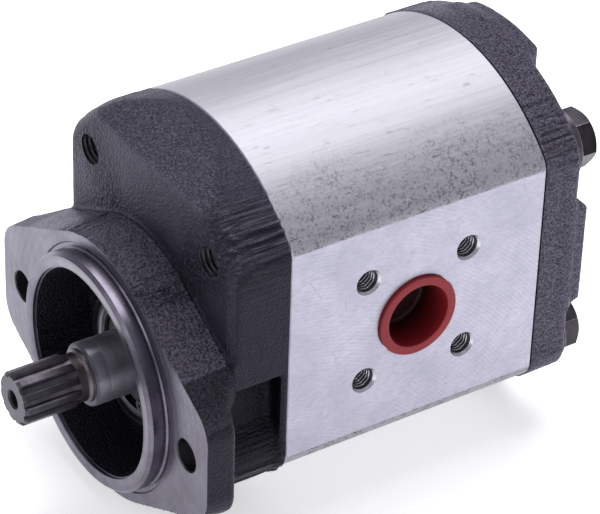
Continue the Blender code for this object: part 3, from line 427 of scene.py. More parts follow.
def red_plastic(name):
    """Soft moulded polyethylene: faint flow marks, a dusty rim, and painted shade that darkens the cup with
    its depth.
    """
    n = Nodes(name)
    flow = n.noise(70.0, 3.0, 0.5, 0.8)
    fine = n.noise(1100.0, 3.0)
    colour = n.mix(n.ramp(flow, 0.3, 0.7), (0.225, 0.009, 0.015), (0.275, 0.014, 0.022))
    colour = n.tint(colour, n.edge_wear(), 0.2, (0.45, 0.10, 0.11))
    # Painted shade: the cup darkens with its depth.
    colour = n.mix(n.attribute("depth"), colour, (0.022, 0.0008, 0.0016))
    roughness = n.ramp(flow, 0.3, 0.7, 0.44, 0.56)
    normal = n.bump(fine, 0.03 * MM, 0.4, n.bump(flow, 0.10 * MM, 0.3))
    return n.finish(colour, roughness, 0.0, normal, Specular_IOR_Level=0.3)


BORED = ((500.0, 4.0, 0.6), (0.50, 0.49, 0.54), (0.72, 0.71, 0.76), (0.22, 0.34), 0.95, 0.03 * MM)
RUBBER = ((800.0, 4.0), (0.012, 0.012, 0.013), (0.028, 0.027, 0.030), (0.5, 0.68), 0.0, 0.06 * MM)
POLYMER = ((300.0, 3.0), (0.66, 0.64, 0.58), (0.78, 0.76, 0.70), (0.4, 0.55), 0.0, 0.04 * MM, 0.4)

MATERIALS = {
    "cast": cast_iron("cast_iron"),
    "machined": machined_iron("machined_iron"),
    "bored": bored_iron("bored_iron"),
    "extruded": extruded_aluminium("extruded_aluminium"),
    "milled": milled_aluminium("milled_aluminium"),
    "bored_aluminium": mottled("bored_aluminium", *BORED),
    "shaft": turned_steel("shaft_steel", (0.42, 0.41, 0.48), (0.52, 0.51, 0.59), 0.30, 1800.0, 1.0, 0.85),
    "spline": turned_steel("spline_steel", (0.026, 0.023, 0.030), (0.085, 0.077, 0.098), 0.26, 1800.0, 0.6),
    "neck": turned_steel("neck_steel", (0.075, 0.065, 0.070), (0.15, 0.132, 0.140), 0.30, 900.0),
    "end": turned_steel("end_steel", (0.046, 0.043, 0.062), (0.095, 0.089, 0.122), 0.34, 700.0, 0.6),
    "bolt": forged_steel("bolt_steel", (0.017, 0.015, 0.020), (0.047, 0.041, 0.053)),
    "washer": forged_steel("washer_steel", (0.040, 0.036, 0.046), (0.10, 0.092, 0.115)),
    "worn": forged_steel("worn_steel_edge", (0.20, 0.188, 0.225), (0.34, 0.325, 0.375)),
    # Near-black thread flanks: painted shade in the aluminium body's tapped holes, the iron's own dark tone
    # in the front cover's.
    "thread": forged_steel("dark_thread_and_painted_shade", (0.018, 0.017, 0.022), (0.055, 0.052, 0.064)),
    "ground": turned_steel("ground_steel", (0.40, 0.39, 0.42), (0.52, 0.51, 0.54), 0.18),
    "spring": forged_steel("spring_steel", (0.07, 0.065, 0.075), (0.15, 0.14, 0.155)),
    "bronze": turned_steel("bush_bronze", (0.42, 0.28, 0.13), (0.55, 0.39, 0.20), 0.28),
    "rubber": mottled("seal_rubber", *RUBBER),
    "polymer": mottled("strip_polymer", *POLYMER),
    "plug": red_plastic("red_plastic"),
}

# ---- Distance fields and the mesh round them


def rounded_max(a, b, radius):
    """What two fields have in common, with an edge of that radius."""
    beyond = np.hypot(np.maximum(a + radius, 0.0), np.maximum(b + radius, 0.0))
    return np.minimum(np.maximum(a, b), -radius) + beyond


def filleted_min(a, b, radius):
    """Two fields joined, with a fillet of that radius."""
    return -rounded_max(-a, -b, radius)


def slab(section, y, front, back, radius):
    """A section extruded along Y, its end edges rounded."""
    return rounded_max(section, np.maximum(front - y, y - back), radius)


def body_section(x, z):
    """Flat sides, domed top and bottom, and a round shoulder between them."""
    side = np.abs(x)
    rise = np.abs(z - MID_Z)
    shoulder_x = HALF_WIDTH - SHOULDER_RADIUS
    shoulder_z = math.sqrt((DOME_RADIUS - SHOULDER_RADIUS) ** 2 - shoulder_x**2) - DOME_OFFSET
    walls = np.maximum(side - HALF_WIDTH, np.hypot(side, rise + DOME_OFFSET) - DOME_RADIUS)
    shoulder = np.hypot(side - shoulder_x, rise - shoulder_z) - SHOULDER_RADIUS
    beside = side * (shoulder_z + DOME_OFFSET) > (rise + DOME_OFFSET) * shoulder_x
    return np.where((rise > shoulder_z) & beside, shoulder, walls)


def flange_section(x, z, grow):
    """Disc with two ears whose sloping edges are tangent to the disc."""
    side = np.abs(x)
    rise = np.abs(z)
    along, across = math.cos(EAR_SLOPE), math.sin(EAR_SLOPE)
    disc = FLANGE_RADIUS + grow
    slope = np.where(side * across < rise * along, np.hypot(side, rise), side * along + rise * across) - disc
    walls = np.maximum(slope, side - EAR_HALF_SPAN - grow / 2)
    corner_x = EAR_HALF_SPAN + grow / 2 - EAR_CORNER_RADIUS
    corner_z = (disc - EAR_CORNER_RADIUS - corner_x * along) / across
    corner = np.hypot(side - corner_x, rise - corner_z) - EAR_CORNER_RADIUS
    beside = (side - corner_x) * across > (rise - corner_z) * along
    return np.where((rise > corner_z) & beside, corner, walls)


def slope_field(y, z):
    """Negative below the plane that runs from the block's front edge up to the dome."""
    run = SLOPE_HIGH[0] - SLOPE_LOW[0]
    climb = SLOPE_HIGH[1] - SLOPE_LOW[1]
    return ((z - SLOPE_LOW[1]) * run - (y - SLOPE_LOW[0]) * climb) / math.hypot(run, climb)


def front_cover_field(x, y, z):
    """Flange, neck, bosses, block and plate of the front cover, still without its machined faces."""
    radius = np.hypot(x, z)
    section = body_section(x, z)
    above = BLOCK_BOTTOM_Z - z
    grow = FLANGE_DRAFT * np.clip(y, 0.0, BLOCK_FRONT_Y)
    flange = flange_section(x, z, grow)
    ears = slab(flange, y, -SPARE, EAR_BACK_Y, 1.2 * MM)
    web_line = (np.abs(x) - 61.5 * MM) * 0.70 + (y - EAR_BACK_Y) * 0.71
    crown = rounded_max(flange, np.maximum(above, y - BLOCK_FRONT_Y - SPARE), 1.2 * MM)
    crown = np.maximum(rounded_max(crown, web_line, 2.5 * MM), -SPARE - y)
    block = slab(section, y, BLOCK_FRONT_Y, FRONT_JOINT_Y + SPARE, 3.6 * MM)
    block = rounded_max(block, above, 1.2 * MM)
    block = rounded_max(block, slope_field(y, z), SLOPE_EDGE)
    corner = np.abs(x) * 0.62 + z * 0.64 - y * 0.45 - BLOCK_CORNER
    block = rounded_max(block, corner, 4.0 * MM)
    plate = slab(section, y, PLATE_FRONT_Y, FRONT_JOINT_Y + SPARE, 0.7 * MM)
    plate = rounded_max(plate, slope_field(y, z), SLOPE_EDGE)
    between = np.maximum(EAR_BACK_Y - SPARE - y, y - PLATE_FRONT_Y - SPARE)
    neck = np.maximum(radius - NECK_RADIUS, between)
    bosses = np.hypot(np.abs(x) - BOLT_X, z - (MID_Z - BOLT_X)) - BOLT_BOSS_RADIUS
    bosses = np.maximum(bosses, between)
    solid = filleted_min(neck, bosses, 3.0 * MM)
    solid = filleted_min(solid, filleted_min(plate, ears, 1.5 * MM), 2.2 * MM)
    solid = np.minimum(solid, filleted_min(block, crown, 1.4 * MM))
    pilot = slab(radius - PILOT_RADIUS - SPARE, y, PILOT_FRONT_Y - SPARE, SPARE, 0.5 * MM)
    solid = np.minimum(solid, pilot)
    taper = (HOLLOW_FLOOR_Y - y) * HOLLOW_DRAFT
    wall = radius - HOLLOW_RADIUS + HOLLOW_DRAFT_GAP - taper
    pocket = slab(wall, y, PILOT_FRONT_Y - 5 * SPARE, HOLLOW_FLOOR_Y, 3.0 * MM)
    boss = rounded_max(radius - SEAL_BOSS_RADIUS - HOLLOW_DRAFT_GAP + taper, SEAL_BOSS_FRONT_Y - y, 1.2 * MM)
    return rounded_max(solid, -hollow_ribs(x, y, z, np.maximum(pocket, -boss)), 0.6 * MM)


def hollow_ribs(x, y, z, pocket):
    """Takes three low cast ribs out of the pocket round the seal boss."""
    for degrees in (100.0, 220.0, 340.0):
        cosine, sine = math.cos(math.radians(degrees)), math.sin(math.radians(degrees))
        along = x * cosine + z * sine
        across = np.abs(z * cosine - x * sine)
        rib = np.maximum(across - 2.2 * MM, np.maximum(-along, 12.5 * MM - y))
        pocket = rounded_max(pocket, -rib, 1.5 * MM)
    return pocket


def rear_cover_field(x, y, z):
    """Plate with the raised cross on its back, still without its machined front."""
    section = body_section(x, z) - REAR_PROUD
    plate = slab(section, y, REAR_JOINT_Y - 0.5 * MM, SEAT_Y, 1.3 * MM)
    taper = (REAR_HIGH.y - y) * CROSS_DRAFT
    upright = np.maximum(np.abs(x) - CROSS_HALF_WIDTH - taper, section + 0.3 * MM)
    bar_end = np.abs(x) - HALF_WIDTH + 0.8 * MM - taper * 0.2
    bar = np.maximum(np.abs(z - MID_Z) - CROSS_HALF_HEIGHT - taper, bar_end)
    cross = filleted_min(upright, bar, 3.0 * MM)
    cross = slab(cross, y, SEAT_Y - 2 * SPARE, REAR_HIGH.y, 1.5 * MM)
    return filleted_min(plate, cross, 2.2 * MM)


def crossings(field, axis, low, cell):
    """Where the field changes sign along one axis: a mask, and the three coordinates of each crossing."""
    near = np.take(field, range(field.shape[axis] - 1), axis)
    far = np.take(field, range(1, field.shape[axis]), axis)
    mask = (near < 0) != (far < 0)
    share = np.where(mask, near / np.where(mask, near - far, 1.0), 0.0)
    grids = np.indices(near.shape).astype(float)
    grids[axis] += share
    return mask, [np.where(mask, low[k] + grids[k] * cell, 0.0) for k in range(3)]


def surface_net(name, shape_field, low, high, cell):
    """A closed mesh round the region where the field is negative, one vertex for each cell it crosses."""
    axes = [np.arange(low[k], high[k] + cell, cell) for k in range(3)]
    field = shape_field(*np.meshgrid(*axes, indexing="ij"))
    shape = tuple(n - 1 for n in field.shape)
    total = np.zeros((3, *shape))
    count = np.zeros(shape)
    masks = []
    for axis in range(3):
        mask, places = crossings(field, axis, low, cell)
        masks.append(mask)
        others = [k for k in range(3) if k != axis]
        for shift in ((0, 0), (0, 1), (1, 0), (1, 1)):
            window = [slice(None)] * 3
            for other, start in zip(others, shift):
                window[other] = slice(start, start + shape[other])
            count += mask[tuple(window)]
            for k in range(3):
                total[k] += places[k][tuple(window)]
    used = count > 0
    index = np.full(shape, -1)
    index[used] = np.arange(used.sum())
    vertices = np.stack([total[k][used] / count[used] for k in range(3)], axis=1)
    quads = [net_faces(masks[axis], field, index, axis) for axis in range(3)]
    return new_object(name, vertices.tolist(), np.concatenate(quads).tolist(), "cast")


def net_faces(mask, field, index, axis):
    """Quads round every crossed grid edge along one axis, facing out of the solid."""
    b, c = (axis + 1) % 3, (axis + 2) % 3
    places = np.argwhere(mask)
    places = places[(places[:, b] > 0) & (places[:, c] > 0)]
    corners = []
    for db, dc in ((-1, -1), (0, -1), (0, 0), (-1, 0)):
        cell = places.copy()
        cell[:, b] += db
        cell[:, c] += dc
        corners.append(index[tuple(cell.T)])
    quads = np.stack(corners, axis=1)
    solid_first = field[tuple(places.T)] < 0
    return np.where(solid_first[:, None], quads, quads[:, ::-1])


# ---- Meshes


def new_object(name, vertices, faces, *finishes):
    mesh = bpy.data.meshes.new(name)
    mesh.from_pydata(vertices, [], faces)
    obj = bpy.data.objects.new(name, mesh)
    bpy.context.scene.collection.objects.link(obj)
    add_finishes(obj, *finishes)
    return obj


def add_finishes(obj, *finishes):
    for finish in finishes:
        obj.data.materials.append(MATERIALS[finish])


def circle(radius, steps, centre=(0.0, 0.0)):
    turns = [2 * math.pi * i / steps for i in range(steps)]
    return [(centre[0] + radius * math.cos(t), centre[1] + radius * math.sin(t)) for t in turns]


def arc(centre, radius, start_deg, end_deg, steps):
    points = []
    for i in range(steps + 1):
        turn = math.radians(start_deg + (end_deg - start_deg) * i / steps)
        points.append((centre[0] + radius * math.cos(turn), centre[1] + radius * math.sin(turn)))
    return points


def ring_faces(first, rings, count):
    """Quads between consecutive rings of vertices; the first ring begins at the vertex given."""
    faces = []
    for a in range(first, first + rings * count, count):
        for i in range(count):
            j = (i + 1) % count
            faces.append((a + j, a + i, a + count + i, a + count + j))
    return faces


def lofted(name, outlines, stations, material):
    """A closed solid through (x, z) outlines that have the same number of points, one at each y station."""
    count = len(outlines[0])
    vertices = []
    for outline, y in zip(outlines, stations):
        vertices += [(x, y, z) for x, z in outline]
    faces = [list(range(count)), list(range(len(vertices) - 1, len(vertices) - count - 1, -1))]
    faces += ring_faces(0, len(outlines) - 1, count)
    return new_object(name, vertices, faces, material)


def prism(name, outline, front, rear, material):
    return lofted(name, [outline, outline], [front, rear], material)


def turned(name, profile, material, steps=ROUND):
    """Turns a (y, r) profile about the Y axis. It is a closed loop, or an open run that ends on the axis."""
    vertices = []
    rings = []
    for y, r in profile:
        start = len(vertices)
        if r == 0.0:
            vertices.append((0.0, y, 0.0))
            rings.append([start] * steps)
        else:
            vertices += [(x, y, z) for x, z in circle(r, steps)]
            rings.append(list(range(start, start + steps)))
    pairs = list(zip(rings, rings[1:]))
    if profile[0][1] > 0.0:
        pairs.append((rings[-1], rings[0]))
    faces = []
    for a, b in pairs:
        for i in range(steps):
            j = (i + 1) % steps
            face = list(dict.fromkeys((a[j], a[i], b[i], b[j])))
            if len(face) > 2:
                faces.append(face)
    return new_object(name, vertices, faces, material)


def rounded_profile(points, radius, steps=3):
    """Rounds the inner corners of a (y, r) profile; each point may carry its own radius as a third value."""
    out = [points[0][:2]]
    for before, here, after in zip(points, points[1:], points[2:]):
        r = here[2] if len(here) > 2 else radius
        corner, a, b = Vector(here[:2]), Vector(before[:2]), Vector(after[:2])
        r = min(r, (a - corner).length * 0.45, (b - corner).length * 0.45)
        start = corner + (a - corner).normalized() * r
        end = corner + (b - corner).normalized() * r
        for i in range(steps + 1):
            t = i / steps
            out.append(tuple(start * (1 - t) ** 2 + corner * 2 * t * (1 - t) + end * t**2))
    out.append(points[-1][:2])
    return out


def thread_cutter(name, crest, root, pitch, start, end, mouth, mouth_material, steps=SMALL_ROUND):
    """Tool for a threaded hole: a helical thread along Y from start to end, and a countersink at its end."""
    rows = int((end - start) / pitch * 8)
    vertices = [(0.0, start - root, 0.0)]
    for row in range(rows + 1):
        y = start + (end - start) * row / rows
        for i in range(steps):
            turn = i / steps
            height = abs(((y / pitch - turn) % 1.0) * 2.0 - 1.0)
            radius = max(crest + (root - crest) * height, mouth - (end - y) * 0.8)
            angle = 2 * math.pi * turn
            vertices.append((radius * math.cos(angle), y, radius * math.sin(angle)))
    vertices += [(x, end + SPARE, z) for x, z in circle(max(mouth, root), steps)]
    faces = [(0, 1 + i, 1 + (i + 1) % steps) for i in range(steps)]
    faces += ring_faces(1, rows + 1, steps)
    faces.append([1 + (rows + 1) * steps + i for i in range(steps)][::-1])
    # The flanks take the near-black thread finish, which is painted shade in the aluminium body's holes;
    # crests and countersink take the mouth's finish.
    tool = new_object(name, vertices, faces, "thread", mouth_material)
    for face in tool.data.polygons:
        reach = math.hypot(face.center.x, face.center.z)
        on_crest = face.center.y > start and reach < crest + 0.3 * (root - crest)
        if on_crest or face.center.y > end - (mouth - root) / 0.8:
            face.material_index = 1
    return tool


def placed(obj, location, towards="+Y"):
    """Moves a piece made along +Y at the origin to its place, turned about Z to point the way given."""
    turn = {"+Y": 0.0, "+X": -math.pi / 2, "-X": math.pi / 2, "-Y": math.pi}[towards]
    obj.data.transform(Matrix.Translation(location) @ Matrix.Rotation(turn, 4, "Z"))
    return obj


def fix_normals(obj):
    bm = bmesh.new()
    bm.from_mesh(obj.data)
    bmesh.ops.recalc_face_normals(bm, faces=bm.faces[:])
    bm.to_mesh(obj.data)
    bm.free()


def machine(target, tools, operation="DIFFERENCE"):
    """Cuts all the tools out of the target, or joins them to it; cut faces keep the tools' materials."""
    group = bpy.data.collections.new("tools")
    for tool in tools:
        fix_normals(tool)
        bpy.context.scene.collection.objects.unlink(tool)
        group.objects.link(tool)
    bpy.context.scene.collection.children.link(group)
    modifier = target.modifiers.new("machine", "BOOLEAN")
    modifier.operation = operation
    modifier.operand_type = "COLLECTION"
    modifier.collection = group
    modifier.solver = "MANIFOLD"
    modifier.material_mode = "TRANSFER"
    bpy.context.view_layer.update()
    graph = bpy.context.evaluated_depsgraph_get()
    result = bpy.data.meshes.new_from_object(target.evaluated_get(graph))
    target.modifiers.clear()
    target.data = result
    for tool in tools:
        bpy.data.objects.remove(tool)
    bpy.data.collections.remove(group)


def shade(obj, degrees):
    """Smooth shading, with a sharp edge at every real corner and wherever two finishes meet."""
    mesh = obj.data
    mesh.shade_smooth()
    mesh.set_sharp_from_angle(angle=math.radians(degrees))
    finish_at = {}
    for face in mesh.polygons:
        for edge in face.edge_keys:
            finish_at.setdefault(edge, set()).add(face.material_index)
    for edge in mesh.edges:
        if len(finish_at.get(tuple(sorted(edge.vertices)), ())) > 1:
            edge.use_edge_sharp = True


def soften(obj, width, segments, degrees=30.0, finish=-1):
    """Bevels every edge sharper than the angle; the bevel may have a finish of its own."""
    bevel = obj.modifiers.new("edges", "BEVEL")
    bevel.width = width
    bevel.segments = segments
    bevel.limit_method = "ANGLE"
    bevel.angle_limit = math.radians(degrees)
    bevel.material = finish


def coordinates(mesh):
    flat = np.empty(len(mesh.vertices) * 3)
    mesh.vertices.foreach_get("co", flat)
    return flat.reshape(-1, 3)


def set_attribute(obj, name, values):
    layer = obj.data.attributes.new(name, "FLOAT", "POINT")
    layer.data.foreach_set("value", np.asarray(values, np.float32))


def roughen(obj, shift):
    """Moves each vertex along its normal by what shift(place, normal) says."""
    mesh = obj.data
    mesh.update()
    moved = [v.co + v.normal * shift(v.co, v.normal) for v in mesh.vertices]
    for vertex, place in zip(mesh.vertices, moved):
        vertex.co = place


def deliver(obj, node, sharp_deg, body="housing"):
    """The finished piece is shaded, rides on its body and stands for its CAD node."""
    shade(obj, sharp_deg)
    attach(obj, body)
    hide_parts(node)


# ---- Cast covers


def shoulder_lines(place, normal):
    """Mould marks that run along Y: strong at the shoulders, none on the flats and the dome's middle."""
    across = math.atan2(abs(place.z - MID_Z) + DOME_OFFSET, abs(place.x))
    strength = math.exp(-(((across - math.radians(RIPPLE_PLACE_DEG)) / math.radians(RIPPLE_SPREAD_DEG)) ** 2))
    outward = max(0.0, 1.0 - abs(normal.y) * 1.6)
    wander = noise.noise(Vector((place.x * 60.0, place.y * 90.0, place.z * 60.0))) * 0.3
    ripple = noise.noise(Vector((across * 42.0 + wander, place.y * 14.0, 3.0)))
    return RIPPLE * strength * outward * ripple


def cast_skin(place, normal):
    swell = noise.noise(place * 120.0) * 0.7 + noise.noise(place * 330.0) * 0.5
    return swell * SKIN_LUMPS + shoulder_lines(place, normal)


def casting(name, shape_field, low, high):
    """A raw casting: the mesh round its field, with the skin that the mould leaves."""
    cover = surface_net(name, shape_field, low, high, CAST_CELL)
    roughen(cover, cast_skin)
    return cover


def paint(cover, grain, dark):
    """Attributes that the cast iron's material reads."""
    x, _, z = coordinates(cover.data).T
    lines = np.exp(-(((round_the_dome(x, z) - LINES_PLACE_DEG) / LINES_SPREAD_DEG) ** 2))
    set_attribute(cover, "grain", np.broadcast_to(grain, len(x)))
    # The dark attribute holds painted shade.
    set_attribute(cover, "dark", np.broadcast_to(dark, len(x)))
    set_attribute(cover, "lines", lines)


def round_the_dome(x, z):
    """Degrees round the dome's centre: 90 at its middle, less towards the shoulders."""
    return np.degrees(np.arctan2(np.abs(z - MID_Z) + DOME_OFFSET, np.abs(x)))


def bolt_places():
    places = {}
    for height, z in (("upper", MID_Z + BOLT_X), ("lower", MID_Z - BOLT_X)):
        for side, x in (("right", BOLT_X), ("left", -BOLT_X)):
            places[f"{height}_{side}"] = (x, z)
    return places


def joint_tool(front, rear):
    """Faces a cover where it meets the body."""
    low, wide, high = -90 * MM, 90 * MM, 120 * MM
    outline = [(low, low), (wide, low), (wide, high), (low, high)]
    return prism("joint_tool", outline, front, rear, "machined")


def flange_tool():
    """Faces the flange and turns the pilot with its chamfer and the groove at its root."""
    front = PILOT_FRONT_Y
    profile = [
        (front - 8 * MM, 0.0), (front - 8 * MM, 95 * MM), (0.0, 95 * MM),
        (0.0, PILOT_RADIUS + 2.0 * MM), (0.5 * MM, PILOT_RADIUS + 1.6 * MM),
        (0.5 * MM, PILOT_RADIUS + 0.2 * MM), (0.0, PILOT_RADIUS - 0.3 * MM),
        (-0.6 * MM, PILOT_RADIUS - 0.3 * MM), (-0.9 * MM, PILOT_RADIUS),
        (front + 1.2 * MM, PILOT_RADIUS), (front, PILOT_RADIUS - 1.1 * MM),
        (front, MOUTH_RADIUS + 0.5 * MM), (front + 0.4 * MM, MOUTH_RADIUS),
        (front + 1.6 * MM, MOUTH_RADIUS - 0.1 * MM), (front + 1.6 * MM, 0.0),
    ]
    return turned("flange_tool", profile, "machined", 160)


def seal_bore_tool():
    """Bore for seal and snap ring, a faced step round its mouth, and the shaft's passage behind it."""
    front = SEAL_BOSS_FRONT_Y
    profile = [
        (front - 4.0 * MM, 0.0), (front - 4.0 * MM, 22.2 * MM), (front + 1.3 * MM, 22.2 * MM),
        (front + 1.1 * MM, 20.9 * MM), (front + 0.4 * MM, 20.4 * MM),
        (front + 0.5 * MM, SEAL_BORE_RADIUS + 0.7 * MM), (front + 1.1 * MM, SEAL_BORE_RADIUS),
        (RING_LOW.y - 0.15 * MM, SEAL_BORE_RADIUS), (RING_LOW.y - 0.15 * MM, RING_GROOVE_RADIUS),
        (RING_HIGH.y + 0.15 * MM, RING_GROOVE_RADIUS), (RING_HIGH.y + 0.15 * MM, SEAL_BORE_RADIUS),
        (SEAL_HIGH.y + GAP, SEAL_BORE_RADIUS), (SEAL_HIGH.y + GAP, SHAFT_BORE_RADIUS),
        (FRONT_JOINT_Y + 4.0 * MM, SHAFT_BORE_RADIUS), (FRONT_JOINT_Y + 4.0 * MM, 0.0),
    ]
    tool = turned("seal_bore_tool", profile, "bored")
    add_finishes(tool, "machined")
    for face in tool.data.polygons:
        if 0.3 < abs(face.normal.y) < 0.95:
            face.material_index = 1
    return tool


def ear_hole_tool(side):
    chamfer = 0.4 * MM
    profile = [
        (-SPARE, 0.0), (-SPARE, FLANGE_HOLE_RADIUS + 2.0 * MM + chamfer),
        (chamfer, FLANGE_HOLE_RADIUS), (EAR_BACK_Y + 3.0 * MM, FLANGE_HOLE_RADIUS),
        (EAR_BACK_Y + 3.0 * MM, 0.0),
    ]
    tool = turned("ear_hole_tool", profile, "bored", 64)
    return placed(tool, (side * FLANGE_HOLE_X, 0.0, 0.0))


def front_cover():
    low = (COVER_LOW.x - SPARE, PILOT_FRONT_Y - 3 * MM, COVER_LOW.z - 3 * MM)
    high = (COVER_HIGH.x + SPARE, FRONT_JOINT_Y + 4 * MM, COVER_HIGH.z + SPARE)
    cover = casting("front_cover_casting", front_cover_field, low, high)
    tools = [flange_tool(), seal_bore_tool(), ear_hole_tool(1), ear_hole_tool(-1)]
    tools.append(joint_tool(FRONT_JOINT_Y, 60 * MM))
    crest, root = BOLT_RADIUS - 0.95 * MM, BOLT_RADIUS - 0.1 * MM
    for place, (x, z) in bolt_places().items():
        start = FRONT_JOINT_Y + SPARE
        end = BLOCK_FRONT_Y if "upper" in place else 22.0 * MM
        tool = thread_cutter("thread", crest, root, BOLT_PITCH, 0.0, start - end, crest, "thread")
        tools.append(placed(tool, (x, start, z), "-Y"))
    machine(cover, tools)
    paint_front_cover(cover)
    deliver(cover, "front_cover", 40.0)


def paint_front_cover(cover):
    """Grain: strong on slope and flange rim, weak on the front face. Dark: painted shade in the hollow, the
    recess and on the flanks.
    """
    x, y, z = coordinates(cover.data).T
    radius, side = np.hypot(x, z), np.abs(x)
    slope = 0.85 * np.clip(1.0 - np.abs(slope_field(y, z)) / (1.2 * MM), 0.0, 1.0)
    rim = (radius > FLANGE_RADIUS - 1 * MM) & (side < EAR_HALF_SPAN - 1 * MM)
    rim &= (y < BLOCK_FRONT_Y - 1 * MM) & (y > -0.5 * MM)
    hollow = (radius < HOLLOW_RADIUS + 0.5 * MM) & (y < FRONT_JOINT_Y - 1 * MM) & (y > PILOT_FRONT_Y + 1 * MM)
    recess = (z < BLOCK_BOTTOM_Z + 0.5 * MM) & (y > EAR_BACK_Y) & (y < FRONT_JOINT_Y - 0.8 * MM)
    flank = side > HALF_WIDTH - 0.6 * MM
    grain = np.maximum(slope, np.where(rim, STRONG_GRAIN, np.where(hollow, 0.3, 0.08)))
    # Painted shade: the dark attribute darkens the hollow, the recess and the flanks.
    paint(cover, grain, np.where(hollow, 0.85, np.where(recess, 0.93, np.where(flank, 0.7, 0.0))))


def rear_cover():
    low = (REAR_LOW.x - 3 * MM, REAR_LOW.y - 4 * MM, REAR_LOW.z - 3 * MM)
    high = (REAR_HIGH.x + 3 * MM, REAR_HIGH.y + SPARE, REAR_HIGH.z + 3 * MM)
    cover = casting("rear_cover_casting", rear_cover_field, low, high)
    tools = [joint_tool(REAR_JOINT_Y - 12 * MM, REAR_JOINT_Y)]
    profile = [
        (REAR_JOINT_Y - 4 * MM, 0.0), (REAR_JOINT_Y - 4 * MM, BOLT_HOLE_RADIUS),
        (SEAT_Y - 0.25 * MM, BOLT_HOLE_RADIUS), (SEAT_Y - 0.25 * MM, 13.0 * MM),
        (SEAT_Y + 8 * MM, 13.0 * MM), (SEAT_Y + 8 * MM, 0.0),
    ]
    for x, z in bolt_places().values():
        tools.append(placed(turned("seat_tool", profile, "machined", 64), (x, 0.0, z)))
    machine(cover, tools)
    paint(cover, STRONG_GRAIN, 0.0)
    deliver(cover, "rear_cover", 40.0)


# ---- Body


def body_outline(inset=0.0):
    """The extrusion's outline, a little oversize at the sides, which are then milled flat."""
    half = HALF_WIDTH + MILLED_OFF - inset
    dome = DOME_RADIUS - inset
    radius = SHOULDER_RADIUS - inset
    shoulder_x = half - radius
    rise = math.sqrt((dome - radius) ** 2 - shoulder_x**2)
    turn = math.degrees(math.atan2(rise, shoulder_x))
    top = MID_Z - DOME_OFFSET
    upper = arc((shoulder_x, top + rise), radius, 0.0, turn, 14)
    upper += arc((0.0, top), dome, turn, 180.0 - turn, 90)[1:-1]
    upper += arc((-shoulder_x, top + rise), radius, 180.0 - turn, 180.0, 14)
    upper = [(max(-HALF_WIDTH + inset, min(HALF_WIDTH - inset, x)), z) for x, z in upper]
    lower = [(-x, 2 * MID_Z - z) for x, z in upper]
    return upper + lower


def figure_eight(radius, steps=48):
    cusp = math.degrees(math.asin(MID_Z / radius))
    lower = arc((0.0, 0.0), radius, -180.0 - cusp, cusp, steps)
    upper = arc((0.0, CENTRE_DISTANCE), radius, -cusp, 180.0 + cusp, steps)
    return lower + upper[1:-1]


def port_tools(towards):
    """Port bore with its spot face, and four threaded screw holes, on one side of the body."""
    profile = [
        (PORT_INNER_X, 0.0), (PORT_INNER_X, PORT_RADIUS), (HALF_WIDTH - PORT_SPOT_DEPTH, PORT_RADIUS),
        (HALF_WIDTH - PORT_SPOT_DEPTH, PORT_SPOT_RADIUS), (HALF_WIDTH + SPARE, PORT_SPOT_RADIUS),
        (HALF_WIDTH + SPARE, 0.0),
    ]
    tools = [placed(turned("port_tool", profile, "bored_aluminium"), (0.0, PORT_Y, MID_Z), towards)]
    crest, mouth = PORT_SCREW_RADIUS - 0.65 * MM, PORT_SCREW_RADIUS + 0.75 * MM
    bottom = HALF_WIDTH - PORT_SCREW_DEPTH + SPARE
    for dy in (-PORT_SCREW_HALF, PORT_SCREW_HALF):
        for dz in (-PORT_SCREW_HALF, PORT_SCREW_HALF):
            sizes = (crest, PORT_SCREW_RADIUS, PORT_SCREW_PITCH, bottom, HALF_WIDTH, mouth)
            tool = thread_cutter("screw_tool", *sizes, "bored_aluminium")
            tools.append(placed(tool, (0.0, PORT_Y + dy, MID_Z + dz), towards))
    return tools


def pump_body():
    edge = 0.4 * MM
    front, rear = BODY_LOW.y, BODY_HIGH.y
    outlines = [body_outline(edge), body_outline(), body_outline(), body_outline(edge)]
    body = lofted("pump_body_extrusion", outlines, [front, front + edge, rear - edge, rear], "extruded")
    add_finishes(body, "milled")
    fix_normals(body)
    for face in body.data.polygons:
        if abs(face.normal.x) > 0.9999 or abs(face.normal.y) > 0.3:
            face.material_index = 1
    eight = figure_eight(CHAMBER_RADIUS)
    tools = [prism("chamber", eight, front - SPARE, rear + SPARE, "bored_aluminium")]
    for x, z in bolt_places().values():
        hole = circle(BOLT_HOLE_RADIUS, 32, (x, z))
        tools.append(prism("bolt_hole", hole, front - SPARE, rear + SPARE, "bored_aluminium"))
    machine(body, tools)
    machine(body, port_tools("+X") + port_tools("-X"))
    x, _, z = coordinates(body.data).T
    # Real specks and painted shade both grow towards the shoulders.
    set_attribute(body, "wear_and_shade", np.clip((66.0 - round_the_dome(x, z)) / 18.0, 0.0, 1.0))
    deliver(body, "pump_body", 12.0)


# ---- Shafts


def involute_teeth(teeth, pitch_radius, pressure_deg, radii, thin, start_deg, limit=None):
    """Outline of a gear or spline: flanks follow the involute at the given radii, root first."""
    pressure = math.radians(pressure_deg)
    base = pitch_radius * math.cos(pressure)
    involute = math.tan(pressure) - pressure
    half_at_pitch = math.pi / (2 * teeth) - thin / pitch_radius
    flank = []
    for radius in radii:
        angle = math.acos(min(1.0, base / radius))
        half = half_at_pitch + involute - (math.tan(angle) - angle)
        flank.append((min(radius, limit) if limit else radius, half))
    tooth = [(r, -half) for r, half in flank] + [(r, half) for r, half in flank[::-1]]
    points = []
    for i in range(teeth):
        centre = math.radians(start_deg) + 2 * math.pi * i / teeth
        points += [(r * math.cos(centre + a), r * math.sin(centre + a)) for r, a in tooth]
    return points


